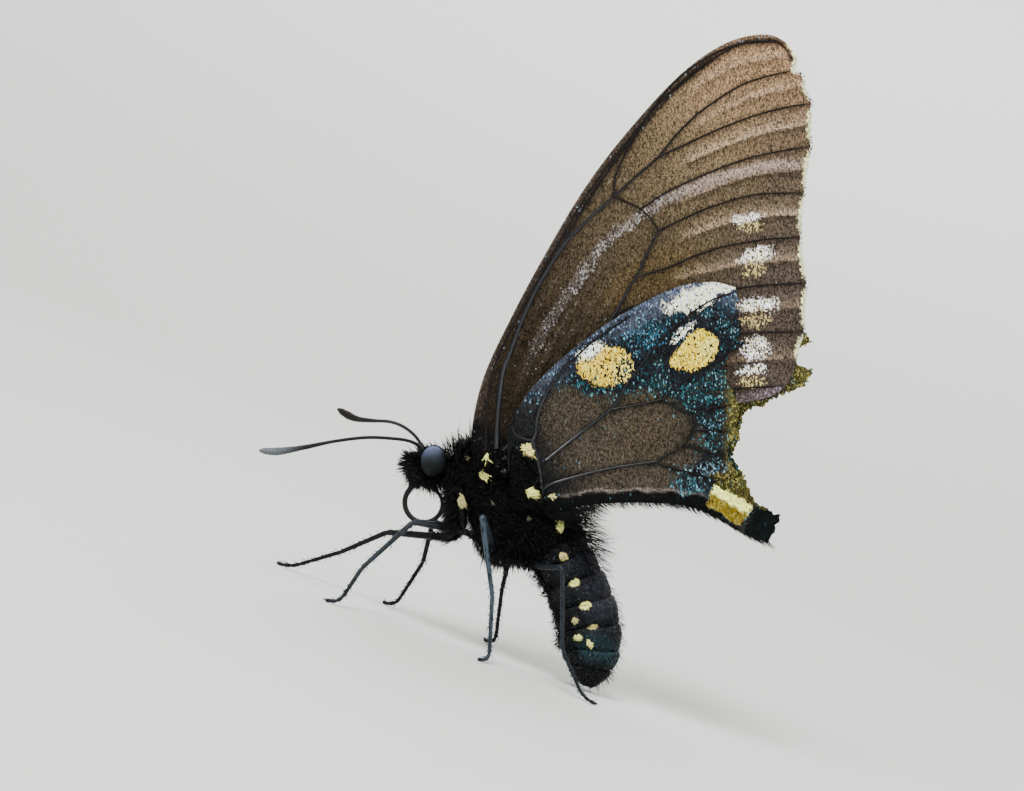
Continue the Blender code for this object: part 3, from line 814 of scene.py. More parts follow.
def paint_fore_under(places):
    x, z = places.T
    ground, mark = Layer(places), Layer(places, (146, 138, 128))
    gleam = Layer(places, (106, 94, 100))
    ground.colour = blend_along(places @ WING_UP, [
        (0, (28, 22, 16)), (8, (44, 35, 23)), (15, (58, 47, 30)),
        (20, (84, 70, 50)), (26, (104, 89, 65)),
        (34, (132, 114, 86)), (40, (158, 136, 106)), (47, (172, 148, 118))])
    ground.wash(soft(x, 17, 26) * soft(z, 31, 15) * 0.8, (86, 75, 70))
    ground.wash(soft(x, 21, 28) * soft(z, 40, 29) * 0.65, (98, 84, 72))
    ground.wash(blob(places, (14.5, 17.5), (5, 2.2), 25) * 0.6, (104, 84, 46))
    for line, strength in fold_lines:
        # Painted highlight on the upper side of each fold and painted shade below it, over the
        # shading of the folds' own relief; a few pale scales join the highlight.
        light, shade_below_fold = ridge(line, places, 0.42, 0.3, 0.12) * (1 - 0.5 * soft(z, 26, 16))
        ground.wash(light * 0.8 * strength, (194, 180, 162))
        ground.wash(shade_below_fold * 0.95 * strength, (36, 28, 21))
        mark.share += light * 0.12 * strength
    # Along the fold through the cell: a painted sheen in the ground, pale silvery scales in the
    # mark, and painted shade just below the fold.
    streak = smooth_line(CELL_STREAK, 4)
    cell_fold_sheen = beside(streak, places, 0.8, 0.35, 0.08)
    ground.wash(cell_fold_sheen * 0.5, (110, 102, 100))
    ground.wash(cell_fold_sheen * soft(x, 13, 18) * 0.6, (186, 174, 166))
    pale = beside(streak, wander(places, 0.2), 1.0, 0.6, 0.06, 0.8)
    mark.wash(pale, (168, 163, 166))
    mark.share += pale * (0.16 + 0.2 * soft(x, 3, 11)) * (1 - 0.5 * soft(x, 13, 19))
    # Painted shade below the cell's fold.
    ground.wash(ridge(streak, places, 0.1, 0.7, 0.3)[1] * 0.6, (60, 46, 34))
    for shift, share in ((-1.7, 0.03), (0.9, 0.08), (2.0, 0.08), (3.0, 0.06)):
        flecks = beside(streak + np.array([shift, -0.5 * shift]), places, 0.28, 0.28, 0.02, 0.42)
        mark.share += flecks * share * 1.6
        ground.wash(flecks * 0.2, (98, 88, 80))
    # Each vein's dark line is its own colour; below the vein it reaches further, as painted shade.
    for line in fore_veins.values():
        above_vein, below_vein = ridge(line, places, 0.16, 0.32)
        ground.wash(above_vein * 0.8 + below_vein * 0.9, (29, 22, 17))
    edge = distance_to(costa_line, places)[0]
    strip_width = 0.85 - 0.4 * soft(z, 33, 38.5)
    strip = soft(edge, strip_width + 0.12, strip_width - 0.12)
    ground.wash(strip * (0.85 - 0.5 * soft(z, 34, 38)), (60, 49, 43))
    gleam.share += strip * 0.07
    ground.wash(soft(np.abs(edge - strip_width), 0.25, 0.05) * 0.85, (32, 24, 18))
    ground.wash(soft(edge, 0.2, 0.05) * 0.5, (128, 112, 96))
    ground.wash(blob(places, (2.2, 9.5), (2.6, 7.5), 20) * 0.35, (46, 36, 20))
    ground.wash(soft(places @ WING_UP, 3.2, 1.4), (9, 9, 9))
    for layer in (mark, gleam):
        layer.share *= soft(places @ WING_UP, 1.0, 4.0)
    for centre, radii, turn, kind in FORE_SPOTS:
        spot = blob(wander(places, 0.12), centre, np.array(radii) * 1.1, turn, 0.42)
        mark.dab(spot, *SPOT_SCALES[kind])
    margin = distance_to(margin_line, places)[0] + 0.08 * np.sin(9 * z) + 0.05 * np.sin(23 * z + 1)
    hollow = soft(vein_end_gap(places), 0.35, 0.8)
    cream = soft(margin, 0.2, 0.08) * np.maximum(hollow * soft(z, 9.0, 9.8),
                                                 soft(z, 36.4, 37.0) * 0.4)
    mark.dab(cream, (224, 222, 198), 0.75)
    ground.wash(cream * 0.6, (150, 142, 112))
    rim = blob(places, (25.0, 6.2), (3.2, 0.55), 12)
    gleam.dab(rim, (150, 140, 146), 0.3)
    ground.wash(rim * 0.6, (128, 112, 118))
    mark.share += 0.01
    return ground, mark, gleam


def paint_fore_upper(places):
    """The upper side is dull black-brown, with the pale spots showing through near the margin."""
    ground, mark = Layer(places), Layer(places, (206, 204, 186))
    gleam = Layer(places, (40, 84, 92), 0.04)
    ground.colour = blend_along(places @ WING_UP, [(0, (16, 17, 18)), (18, (30, 28, 27)),
                                                   (44, (58, 51, 46))])
    for line, _ in fold_lines:
        ground.wash(beside(line, places, 0.6, 0.6, 0.2) * 0.4, (70, 62, 56))
    for line in fore_veins.values():
        ground.wash(beside(line, places, 0.3, 0.3) * 0.6, (14, 13, 13))
    gleam.share += 0.3 * soft(places[:, 1], 16, 4)
    for centre, radii, turn, _ in FORE_SPOTS:
        mark.raise_to(blob(places, centre, np.array(radii) * 0.8, turn) * 0.6)
    return ground, mark, gleam


# %% [markdown]
# The underside of the hind wing is the showpiece. A brown cell is framed by blue and teal scales
# that shine like metal, with two orange spots near the leading edge, a white patch beside the
# upper one, and a cream and orange bar above the black tip of the inner margin.

# %% Hind wing, underside
BLUE_EDGE = [(2.9, 1.4), (3.6, 4.2), (4.6, 6.4), (6.2, 7.3), (8.0, 6.5), (11.0, 6.4), (12.5, 6.8),
             (14.0, 6.6), (16.0, 6.0), (17.0, 5.2), (18.3, 4.0), (19.0, 3.0), (19.3, 1.5),
             (18.6, 0.0), (17.3, -0.8), (16.9, -1.6), (16.6, -3.2)]
BAND_TOP = [(3.6, -3.9), (6.0, -3.3), (9.0, -2.95), (12.0, -2.88), (15.0, -2.9), (17.0, -3.1),
            (19.0, -3.35), (20.2, -4.6), (22.4, -6.3), (24.0, -8.0)]
# Patches of blue and teal: centre, radii, turn, colour, share.
GLEAM_PATCHES = [
    ((9.6, 6.9), (2.9, 0.75), -6, (52, 132, 136), 0.62),
    ((6.6, 7.7), (1.2, 0.7), 30, (46, 108, 116), 0.45),
    ((8.6, 11.2), (3.0, 1.0), 35, (72, 112, 140), 0.5),
    ((13.7, 11.8), (2.4, 1.5), 32, (52, 134, 160), 0.62),
    ((12.2, 9.6), (1.1, 1.7), -30, (66, 100, 122), 0.5),
    ((15.6, 13.2), (2.2, 0.8), 30, (50, 86, 106), 0.5),
    ((10.5, 12.6), (3.2, 0.8), 33, (106, 124, 146), 0.45),
    ((14.6, 7.6), (1.9, 1.2), 20, (58, 132, 138), 0.45),
    ((18.0, 7.0), (2.6, 1.1), 18, (52, 126, 132), 0.4),
    ((19.3, 5.3), (2.0, 1.0), 12, (50, 132, 142), 0.4),
    ((21.2, 11.8), (0.9, 2.0), 8, (44, 104, 114), 0.42),
    ((20.4, 14.4), (1.6, 0.8), 20, (56, 104, 126), 0.5),
    ((20.2, 3.6), (1.5, 0.6), 0, (96, 148, 160), 0.45),
    ((19.9, 1.8), (1.3, 0.7), -6, (48, 120, 126), 0.5),
    ((18.6, -0.9), (1.7, 0.7), -14, (150, 172, 178), 0.5),
    ((20.6, -0.8), (1.1, 0.5), -10, (130, 160, 172), 0.5),
    ((17.4, -2.3), (1.5, 0.6), -6, (84, 140, 152), 0.55),
    ((21.0, 8.2), (0.9, 1.3), 0, (48, 112, 118), 0.42)]
NEAR_SPECKS = [((21.3, -1.7), (1.3, 0.5), -28), ((22.6, -3.0), (1.4, 0.45), -36)]


def paint_hind_under(places):
    x, z = places.T
    ground, mark = Layer(places), Layer(places, (118, 106, 84))
    gleam = Layer(places, (56, 110, 130))
    ground.colour = blend_along(x, [(1, (40, 36, 30)), (6, (75, 66, 54)), (14, (85, 74, 57)),
                                    (22, (70, 64, 54))])
    ground.wash(soft(z, 0.0, -2.5) * 0.6, (66, 58, 50))
    mark.share += 0.11
    places = wander(places, 0.1)
    far, _, side = distance_to(smooth_line(BLUE_EDGE, 4), places)
    above = soft(far * side, -0.35, 0.35)
    ground.wash(above * 0.92, (26, 32, 39))
    ground.wash(above * soft(x, 8, 3) * 0.7, (44, 42, 40))
    near_costa = soft(distance_to(smooth_line(HIND_COSTA), places)[0], 2.6, 0.7)
    costal = near_costa * above * soft(z, 4, 11)
    ground.wash(costal * 0.75, (104, 111, 128))
    gleam.wash(costal, (132, 150, 176))
    gleam.share += above * (0.08 + 0.26 * costal)
    root = soft(x * 0.8 + z * 0.6, 6.8, 2.6)
    ground.wash(root * 0.9, (17, 19, 20))
    fade(root, mark, gleam)
    for centre, radii, turn, colour, share in GLEAM_PATCHES:
        patch = blob(wander(places, 0.3), centre, np.array(radii) * 1.1, turn)
        gleam.wash(patch * 0.8, colour)
        gleam.raise_to(patch * share)
    near_edge = soft(x, 19.0, 22.4) * soft(z, 13, 6)
    ground.wash(near_edge * 0.35, (58, 52, 34))
    # Each vein's dark outline: partly its own dark scales, partly painted shade below it.
    for line in hind_veins.values():
        above_vein, below_vein = ridge(line, places, 0.24, 0.34)
        shade = (above_vein + below_vein) * 0.92
        ground.wash(shade, (11, 11, 13))
        fade(shade, mark, gleam)
    for centre, radii, turn in (((10.1, 9.0), (2.9, 2.1), -8), ((18.3, 10.4), (2.35, 1.75), 22)):
        rim = blob(places, centre, np.array(radii) * 1.35, turn)
        ground.wash(rim * 0.85, (22, 24, 30))
        fade(0.75 * rim, gleam)
        fade(rim, mark)
    strip = blob(places, (17.2, 12.1), (1.5, 0.5), 43)
    patch = blob(places, (8.5, 10.4), (1.4, 0.6), 28)
    pale = blob(places, (12.2, 8.3), (1.3, 1.6), 10)
    first_spot = blob(places, (10.05, 9.0), (2.75, 2.0), -8, 0.14)
    second_spot = np.maximum(blob(places, (18.2, 9.95), (2.15, 1.4), 22, 0.1),
                             blob(places, (19.1, 10.9), (1.7, 1.5), 40, 0.1))
    for mask, colour, share in (
            (first_spot, (209, 193, 50), 0.7), (second_spot, (211, 198, 50), 0.77),
            (blob(places, (25.2, 9.2), (1.5, 1.1), 25, 0.1), (208, 188, 24), 0.8),
            (blob(places, (25.6, 5.6), (1.2, 1.0), 10, 0.1), (208, 188, 24), 0.8),
            (strip, (220, 224, 240), 0.64), (patch, (214, 220, 236), 0.66)):
        mark.dab(mask, colour, share)
    mark.wash(pale * first_spot, (216, 210, 150))
    mark.wash(blob(places, (19.6, 10.7), (1.0, 0.8), 40, 0.5) * second_spot * 0.5, (222, 214, 166))
    mark.share -= 0.25 * pale * first_spot
    white = np.maximum(blob(wander(places, 0.15), (18.2, 15.4), (2.9, 1.15), 24, 0.35),
                       blob(places, (20.3, 16.35), (2.3, 0.6), 8, 0.2))
    mark.dab(white, (240, 242, 238), 0.82)
    fade(white, gleam)
    far, _, side = distance_to(smooth_line(BAND_TOP, 4), places)
    black = soft(far * side, 0.12, -0.08)
    thin = soft(np.abs(far * side - 0.22), 0.2, 0.06) * soft(x, 4, 8) * soft(x, 20, 18)
    ground.wash(thin * 0.5, (150, 140, 134))
    ground.wash(black, (7, 9, 8))
    fade(black, mark, gleam)
    bar = panel(places, (21.6, -4.1), (2.0, 1.2), -31)
    top = soft(z + 0.6 * (x - 21.7) + 4.05 + 0.12 * np.sin(7 * x), -0.12, 0.12)
    mark.wash(bar * top, (228, 220, 170))
    mark.wash(bar * (1 - top), (140, 120, 20))
    mark.raise_to(bar * 0.86)
    tip = soft(x - 0.45 * (z + 5), 23.5, 24.1) * soft(z, -2.5, -3.6)
    ground.wash(tip, (10, 14, 14))
    fade(0.93 * tip, mark)
    fade(tip, gleam)
    for centre, radii, turn in NEAR_SPECKS:
        olive = blob(places, centre, radii, turn)
        ground.wash(olive * 0.85, (88, 78, 36))
        mark.wash(olive * 0.8, (170, 156, 98))
        mark.raise_to(0.3 * olive)
        fade(olive, gleam)
    ragged = soft(x, 20.8, 22.0) * soft(z, 10, 6) * soft(z, -2.5, -1)
    ground.wash(ragged * 0.8, (108, 103, 52))
    mark.dab(ragged, (168, 164, 88), 0.22)
    fade(0.7 * ragged, gleam)
    return ground, mark, gleam


def paint_hind_upper(places):
    """The upper side shines blue-green, with pale spots near the margin and an olive worn edge,
    which is painted lighter as light shining through it.
    """
    x, z = places.T
    ground, mark = Layer(places, (20, 34, 38)), Layer(places, (196, 190, 140))
    gleam = Layer(places, (30, 104, 118), 0.35)
    gleam.share *= soft(x, 2, 14)
    # The worn edge: olive from its worn scales, and painted lighter as light shining through it.
    worn_and_backlit_edge = np.maximum(soft(x + 0.25 * z, 21.0, 23.5),
                           blob(places, (22.6, -3.0), (2.4, 1.7), -35))
    ground.wash(worn_and_backlit_edge * 0.95, (106, 100, 46))
    mark.wash(worn_and_backlit_edge, (184, 178, 118))
    mark.share += 0.05 + 0.25 * worn_and_backlit_edge
    fade(0.8 * worn_and_backlit_edge, gleam)
    for line in hind_veins.values():
        ground.wash(beside(line, places, 0.3, 0.3) * 0.6, (12, 14, 14))
    for height in (13.4, 9.6, 6.0, 2.6):
        mark.raise_to(blob(places, (19.4, height), (0.9, 0.6)) * 0.8)
    for layer in (mark, gleam):
        layer.share *= soft(z, -3.2, -2.4)
    mark.raise_to(blob(places, (21.7, -3.9), (1.6, 0.8), -32) * 0.8)
    return ground, mark, gleam


# %% [markdown]
# ## The scale material
# A Voronoi pattern splits the wing into cells the size of a scale, and gives each cell its random
# numbers. Its distance makes every scale a low dome in the bump, so the wing glitters in grains.

# %% Scale material
SCALES_PER_MM = (9.5, 0.0, 5.4)


def scale_finish(name, dusting=1.5):
    """Wing scales: ground, mark and gleam layers, read from the painted attributes."""
    finish = Finish(name, Specular_IOR_Level=0.045)
    place = finish.specimen_place(stretch=SCALES_PER_MM, turn_deg=32)
    domes, numbers = finish.cells(place, 1.0)
    deal, second, third = finish.split(numbers)
    mark, gleam = finish.painted("mark"), finish.painted("gleam")
    ground_colour, mark_colour, gleam_colour = map(finish.painted_colour,
                                                   ("ground", "mark", "gleam"))
    patches = finish.noise(finish.specimen_place(stretch=(1.1, 0, 1.1)), 1.0, 3.0)
    colour = finish.brighten(ground_colour, (1 - dusting / 2) + dusting * third)
    grain = finish.noise(finish.specimen_place(stretch=(1, 0, 1)), 6.5, 1.0)
    colour = finish.brighten(colour, 2.3 * grain + 0.4 * patches - 0.35)
    clumps = finish.grain(3.6, 1.0)
    deal = deal * 0.75 + clumps * 0.6 - 0.17
    is_gleam = finish.step(gleam[3] * (0.1 + 1.4 * patches) - second, -0.02, 0.02)
    is_mark = finish.step(mark[3] - deal, -0.02, 0.02)
    shine = finish.brighten(gleam_colour, 0.3 + 1.9 * third * third)
    shine = finish.mix(finish.step(third, 0.76, 0.86) * 0.4, shine, rgb(166, 192, 198))
    colour = finish.mix(is_gleam, colour, shine)
    pale = finish.mix(finish.step(third, 0.62, 0.72) * mark[3] * mark[0],
                      mark_colour, rgb(238, 226, 176))
    colour = finish.mix(is_mark, colour, finish.brighten(pale, 0.6 + 0.65 * second))
    metal = is_gleam * (1 - is_mark) * 0.45
    rough = 0.66 - 0.24 * is_gleam + 0.15 * (domes - 0.5)
    return finish.wear(colour, rough, (1 - domes) + 0.8 * deal, 0.045, metal)


wing_scales = scale_finish("wing_scales")

# %% Bend and paint the four wings
WING_SIDES = {"left": -1, "right": 1}
fore_flats = {"left": fore_flat}
select_only(fore_flat)
bpy.ops.object.duplicate()
fore_flats["right"] = bpy.context.object
fore_flats["right"].name = "fore_wing_right"


def paint_wing(piece, surface, under, upper):
    """Paints both faces of a wing. The face further from the body is its underside."""
    points = specimen_points(piece)
    plan = points[:, [0, 2]]
    outside = np.abs(points[:, 1]) > surface(plan)
    for name, first, second in zip(("ground", "mark", "gleam"), under(plan), upper(plan)):
        first.colour = np.where(outside[:, None], first.colour, second.colour)
        first.share = np.where(outside, first.share, second.share)
        first.paint_on(piece, name)


for side, sign in WING_SIDES.items():
    for kind, piece, surface, under, upper in (
            ("fore", fore_flats[side], fore_surface, paint_fore_under, paint_fore_upper),
            ("hind", hind_flats[side], hind_surface, paint_hind_under, paint_hind_upper)):
        bend_sheet(piece, sign, surface)
        paint_wing(piece, surface, under, upper)
        hand_in(piece, wing_scales, f"{kind}_wing_scales", f"{kind}_wing_{side}")

# %% [markdown]
# The veins stand proud of both faces. Each is a line on the wing's surface with a round bevel
# that gets thinner towards the margin, turned into a mesh. The big trunks are polished and
# bluish, and the fine ends are dull and dark, so the finish follows the painted thickness.

# %% Vein pieces
vein_shell = Finish("vein_shell", Specular_IOR_Level=0.08, Coat_Roughness=0.12)
thick = vein_shell.painted("thickness")[0]
vein_grain = vein_shell.grain(6.0)
vein_shell.wear(
    vein_shell.brighten(vein_shell.mix(thick, rgb(17, 13, 11), rgb(22, 24, 31)), 0.5 + vein_grain),
    0.5 - 0.1 * thick, vein_grain, 0.01, coat=thick * (0.15 + 0.7 * vein_grain))


def vein_piece(name, veins, lines, sign, surface):
    swept_lines = []
    for key, (_, first, last) in veins.items():
        plan = lines[key]
        plan = plan[plan[:, 0] > 0.2] if key == "anal_two" else plan
        radii = np.hypot(np.linspace(first, last, len(plan)), WING_SKIN / 2 + 0.01)
        radii[-1] *= 0.5
        swept_lines.append((with_depth(plan, sign * surface(plan)), radii))
    piece = swept(name, swept_lines)
    plan = specimen_points(piece)[:, [0, 2]]
    width = np.zeros(len(plan))
    for key, (_, first, last) in veins.items():
        far, share, _ = distance_to(lines[key], plan)
        near = far < 0.25
        width[near] = np.maximum(width[near],
                                 soft(first + (last - first) * share[near], 0.07, 0.15))
    paint_points(piece, "thickness", [width])
    return piece


for side, sign in WING_SIDES.items():
    veins = vein_piece(f"fore_veins_{side}", FORE_VEINS, fore_veins, sign, fore_surface)
    hand_in(veins, vein_shell.material, "fore_wing_scales")
    veins = vein_piece(f"hind_veins_{side}", HIND_VEINS, hind_veins, sign, hind_surface)
    hand_in(veins, vein_shell.material, "hind_wing_scales")

# %% [markdown]
# ## One skin for the body
# Head, thorax and abdomen are separate solids with a little air between them. The real skin runs
# on without a break, so their copies are joined, swollen until they meet, rebuilt as one closed
# surface by a voxel remesh, smoothed, and sunk inwards by the depth of the coat.

# %% The trunk's own line
# x and z of the middle of the trunk, and the lean of its section in degrees, neck to tail.
TRUNK = np.array([
    (-4.9, -0.5, 8), (-4.2, -0.6, 10), (-3.2, -1.0, 13), (-2.0, -2.0, 18), (-0.5, -3.3, 22),
    (1.2, -4.5, 27), (2.8, -5.7, 33), (4.0, -6.9, 42), (4.9, -8.0, 52), (5.7, -9.4, 60),
    (6.7, -11.3, 64), (7.6, -13.4, 70), (8.3, -15.6, 78), (8.6, -17.8, 86), (8.6, -19.6, 92),
    (8.45, -20.8, 96), (8.3, -21.55, 100)])
trunk_line = TRUNK[:, :2]
trunk_run = run_along(trunk_line)
RING_JOINTS = trunk_run[8:15]


def trunk_place(points):
    """(millimetres from the neck, degrees round, tailward direction) of each specimen point.

    90 degrees is the back, 0 the side and -90 the belly, on either side of the body.
    """
    _, share, _ = distance_to(trunk_line, points[:, [0, 2]])
    run = share * trunk_run[-1]
    centre = rows_at(run, trunk_run, trunk_line)
    lean = np.radians(np.interp(run, trunk_run, TRUNK[:, 2]))
    away = points[:, [0, 2]] - centre
    up = away[:, 0] * np.sin(lean) + away[:, 1] * np.cos(lean)
    tailward = np.column_stack([np.cos(lean), np.zeros(len(points)), -np.sin(lean)])
    return run, np.degrees(np.arctan2(up, np.abs(points[:, 1]) + 1e-6)), tailward


print("trunk line", round(trunk_run[-1], 1), "mm from neck to tail")

# %% Making the skin
FLESH = ["head", "prothorax", "thorax"] + [f"abdomen_{number}" for number in range(1, 8)]
SWELL, SKIN_VOXEL = 0.22, 0.16
COAT_DEPTH = {"head": 0.3, "thorax": 0.42, "abdomen": 0.14}
HEAD_END_X = -5.0

skin = join("body_skin", [new_piece(f"{name}_copy", nodes[name].data.copy()) for name in FLESH])
mend(skin, 1e-6)
for kind, settings in (("DISPLACE", {"strength": SWELL * MM, "mid_level": 0.0}),
                       ("REMESH", {"mode": "VOXEL", "voxel_size": SKIN_VOXEL * MM}),
                       ("SMOOTH", {"factor": 0.5, "iterations": 10})):
    step = skin.modifiers.new(kind.lower(), kind)
    for key, value in settings.items():
        setattr(step, key, value)
    bpy.ops.object.modifier_apply(modifier=step.name)


def point_normals(piece):
    """The direction of the surface at each point, along the specimen's axes."""
    return own_points(piece, "normal") @ np.array(STANCE.to_3x3().normalized())


points, normals = specimen_points(skin), point_normals(skin)
run, around, _ = trunk_place(points)
depth = np.where(points[:, 0] < HEAD_END_X, COAT_DEPTH["head"],
                 COAT_DEPTH["thorax"] + (COAT_DEPTH["abdomen"] - COAT_DEPTH["thorax"])
                 * soft(run, 9, 12))
under = soft(around, -35, -65) * soft(run, 11, 13) * soft(run, 22, 20)
depth = depth + 0.4 * under - 0.12 * soft(around, 20, 50) * soft(run, 11, 13)
ring_gaps = np.abs(run[:, None] - RING_JOINTS - 0.25 * np.sin(np.radians(around))[:, None])
furrow = 0.34 * np.exp(-((ring_gaps.min(axis=1) / 0.15) ** 2)) * (RING_JOINTS[0] - 0.5 < run)
place_mesh(skin, points - normals * (SWELL + depth + furrow)[:, None])
select_only(skin)
bpy.ops.object.shade_smooth()
print("skin", len(skin.data.polygons), "faces")

# %% [markdown]
# ## Markings of the body
# The body is black, with a blue-green sheen on the abdomen. Small cream spots sit on its sides:
# each one is a tuft of pale scales. One function colours any point of the body, so the skin and
# every hair that grows from it agree.

# %% Spots and body colour
# Centre (x, z), length, width, heading of the scales in degrees, fanning in degrees, how pale.
BODY_SPOTS = [
    ((-3.1, 0.1), 0.55, 0.5, 200, 60, 0.5), ((-1.15, 0.4), 0.6, 0.55, -80, 110, 1.0),
    ((-1.35, -1.5), 1.3, 0.65, -32, 60, 1.0), ((2.6, 1.1), 1.15, 1.15, -75, 170, 0.95),
    ((3.0, -2.8), 0.95, 0.95, -10, 85, 1.0), ((5.1, -3.2), 0.85, 0.7, 0, 80, 0.85),
    ((-3.6, -3.95), 1.6, 0.55, -80, 40, 0.8), ((2.8, -5.5), 0.6, 0.5, -60, 60, 0.4),
    ((-0.6, -4.0), 0.6, 0.5, -60, 60, 0.3), ((5.6, -6.05), 1.3, 0.85, 100, 10, 1.0),
    ((6.0, -9.0), 0.85, 0.8, -60, 50, 0.9), ((7.05, -11.4), 0.72, 0.95, -75, 60, 1.0),
    ((8.1, -13.6), 0.55, 1.1, -80, 60, 1.0), ((7.1, -15.0), 0.5, 0.7, -80, 60, 0.85),
    ((8.8, -15.6), 0.48, 1.0, -80, 60, 0.9), ((7.4, -16.6), 0.45, 0.8, -80, 60, 1.0),
    ((8.5, -17.2), 0.8, 0.5, -60, 60, 1.0)]


BLACK = (7, 8, 8)


def spot_tone(paleness):
    """The screen colour of a tuft, from dull grey at 0 to cream at 1."""
    return 60 + 164 * paleness, 58 + 162 * paleness, 50 + 126 * paleness


def body_colour(points):
    """(colour, share of pale scales) of each point of the body."""
    run, around, _ = trunk_place(points)
    plan = points[:, [0, 2]]
    layer = Layer(plan, BLACK)
    belly = soft(run, 12, 15)
    layer.wash(belly, (8, 9, 11))
    layer.wash(belly * soft(around, -35, 20) * 0.8, (19, 21, 28))
    layer.wash(belly * blob(plan, (9.4, -17.9), (2.0, 1.5), -30) * 0.8, (32, 62, 70))
    # A purple-grey patch of painted sheen on the middle of the abdomen.
    layer.wash(belly * blob(plan, (9.8, -12.6), (1.8, 2.4), -20) * 0.6, (50, 50, 64))
    layer.wash(soft(run, 23.5, 25.5), (12, 12, 11))
    for centre, length, width, heading, _, paleness in BODY_SPOTS:
        spot = blob(plan, centre, (length / 2, width / 2), heading, 0.15)
        layer.wash(spot * (np.abs(points[:, 1]) > 1.1), spot_tone(paleness), 1.0)
    return layer


points = specimen_points(skin)
body_colour(points).paint_on(skin, "ground")
paint_points(skin, "shine", [soft(trunk_place(points)[0], 11, 15)])

body_finish = Finish("body_skin", Specular_IOR_Level=0.15)
skin_cells, skin_numbers = body_finish.cells(body_finish.specimen_place(), 7.0)
skin_deal = body_finish.split(skin_numbers)[0]
skin_shine = body_finish.painted("shine")[0]
body_finish.wear(
    body_finish.brighten(body_finish.painted_colour("ground"), 0.5 + 1.1 * skin_deal),
    0.85 - 0.4 * skin_shine * skin_deal, (1 - skin_cells) + 0.6 * skin_deal, 0.05)
hand_in(skin, body_finish.material, "black_fur", *FLESH)

# %% [markdown]
# ## Coats
# Hair and scales are real, if very small, solids: three-sided spikes that start at the skin, are
# widest below the middle, and bend to a point. Thousands are made at once from arrays of roots
# and directions and joined into one mesh, because adding them one by one would take minutes.
# The map OFBake gives every spike its own small patch, at its root's place on the unrolled skin.

# %% The spike maker
PATCH = 0.0015
CLEARANCE = 2e-5  # metres between the floor and the lowest hairs, which bend along it
# Three corners at the root, three at the widest place and the tip: their faces, how many corners
# each face has, and where the corners lie on the spike's patch of the map.
SPIKE_FACES = np.array([0, 1, 2, 0, 3, 4, 1, 1, 4, 5, 2, 2, 5, 3, 0, 3, 6, 4, 4, 6, 5, 5, 6, 3])
FACE_SIZES = np.array([3, 4, 4, 4, 3, 3, 3])
PATCH_CORNERS = np.array([(-1, -1), (0, -1), (1, -1), (-0.8, 0),
                          (0, 0.1), (0.8, 0), (0, 1)]) * PATCH
CORNERS = len(PATCH_CORNERS)


def unit(rows):
    """The rows made 1 long."""
    return rows / np.maximum(np.linalg.norm(rows, axis=-1, keepdims=True), 1e-9)


def spikes(name, roots, normals, starts, ends, lengths, widths,
           colours, unrolled, thick=0.6, sunk=0.06):
    """One mesh of bent spikes. unrolled is each root's (u, v), from 0 to 1."""
    count = len(roots)
    starts, ends = unit(starts), unit(ends)
    length, width = np.asarray(lengths)[:, None], np.asarray(widths)[:, None]
    side = unit(np.cross(starts, normals + 1e-4))
    over = unit(np.cross(side, starts))
    low = roots - starts * sunk
    middle = roots + starts * length * 0.45
    tip = middle + ends * length * 0.55
    corners = np.stack([
        low + side * width * 0.55, low + over * width * thick * 0.5, low - side * width * 0.55,
        middle + side * width, middle + over * width * thick, middle - side * width, tip], axis=1)
    mesh = bpy.data.meshes.new(name)
    mesh.vertices.add(count * CORNERS)
    mesh.loops.add(count * len(SPIKE_FACES))
    mesh.polygons.add(count * len(FACE_SIZES))
    places = to_world(corners.reshape(-1, 3))
    places[:, 2] = np.maximum(places[:, 2], CLEARANCE)
    mesh.vertices.foreach_set("co", places.astype(np.float32).ravel())
    loops = (SPIKE_FACES + CORNERS * np.arange(count)[:, None]).ravel()
    mesh.loops.foreach_set("vertex_index", loops.astype(np.int32))
    starts_at = np.concatenate([[0], np.cumsum(np.tile(FACE_SIZES, count))[:-1]])
    mesh.polygons.foreach_set("loop_start", starts_at.astype(np.int32))
    mesh.update(calc_edges=True)
    uv = (np.asarray(unrolled)[:, None] + PATCH_CORNERS).reshape(-1, 2)[loops]
    mesh.uv_layers.new(name="OFBake").data.foreach_set("uv", uv.astype(np.float32).ravel())
    piece = new_piece(name, mesh)
    paint_points(piece, "hair_colour", np.repeat(colours, CORNERS, axis=0).T)
    mend(piece, outward=True)
    return piece


def hair_finish(name, roughness, **constants):
    finish = Finish(name, **constants)
    grain = finish.grain(9.0)
    colour = finish.painted_colour("hair_colour")
    return finish.wear(finish.brighten(colour, 0.75 + 0.5 * grain),
                       roughness + 0.15 * grain, grain, 0.01)


fur = hair_finish("black_hair", 0.3, Specular_IOR_Level=0.12)
pale_scales = hair_finish("pale_scales", 0.55, Specular_IOR_Level=0.25)

abdomen_gloss = Finish("abdomen_gloss", Specular_IOR_Level=0.14)
gloss_place = abdomen_gloss.specimen_place()
gloss_grain = abdomen_gloss.noise(gloss_place, 5.0, 1.0)
# Painted glints: a few pale blue-grey dots mixed into the scales' colour, as sparkle.
painted_glint_dots = abdomen_gloss.step(abdomen_gloss.noise(gloss_place, 6.5, 0.0), 0.72, 0.79)
gloss_colour = abdomen_gloss.painted_colour("hair_colour")
abdomen_gloss.wear(
    abdomen_gloss.mix(painted_glint_dots * 0.5,
                      abdomen_gloss.brighten(gloss_colour, 0.4 + 1.2 * gloss_grain),
                      rgb(150, 158, 174)),
    0.28 - 0.16 * gloss_grain, gloss_grain, 0.02)


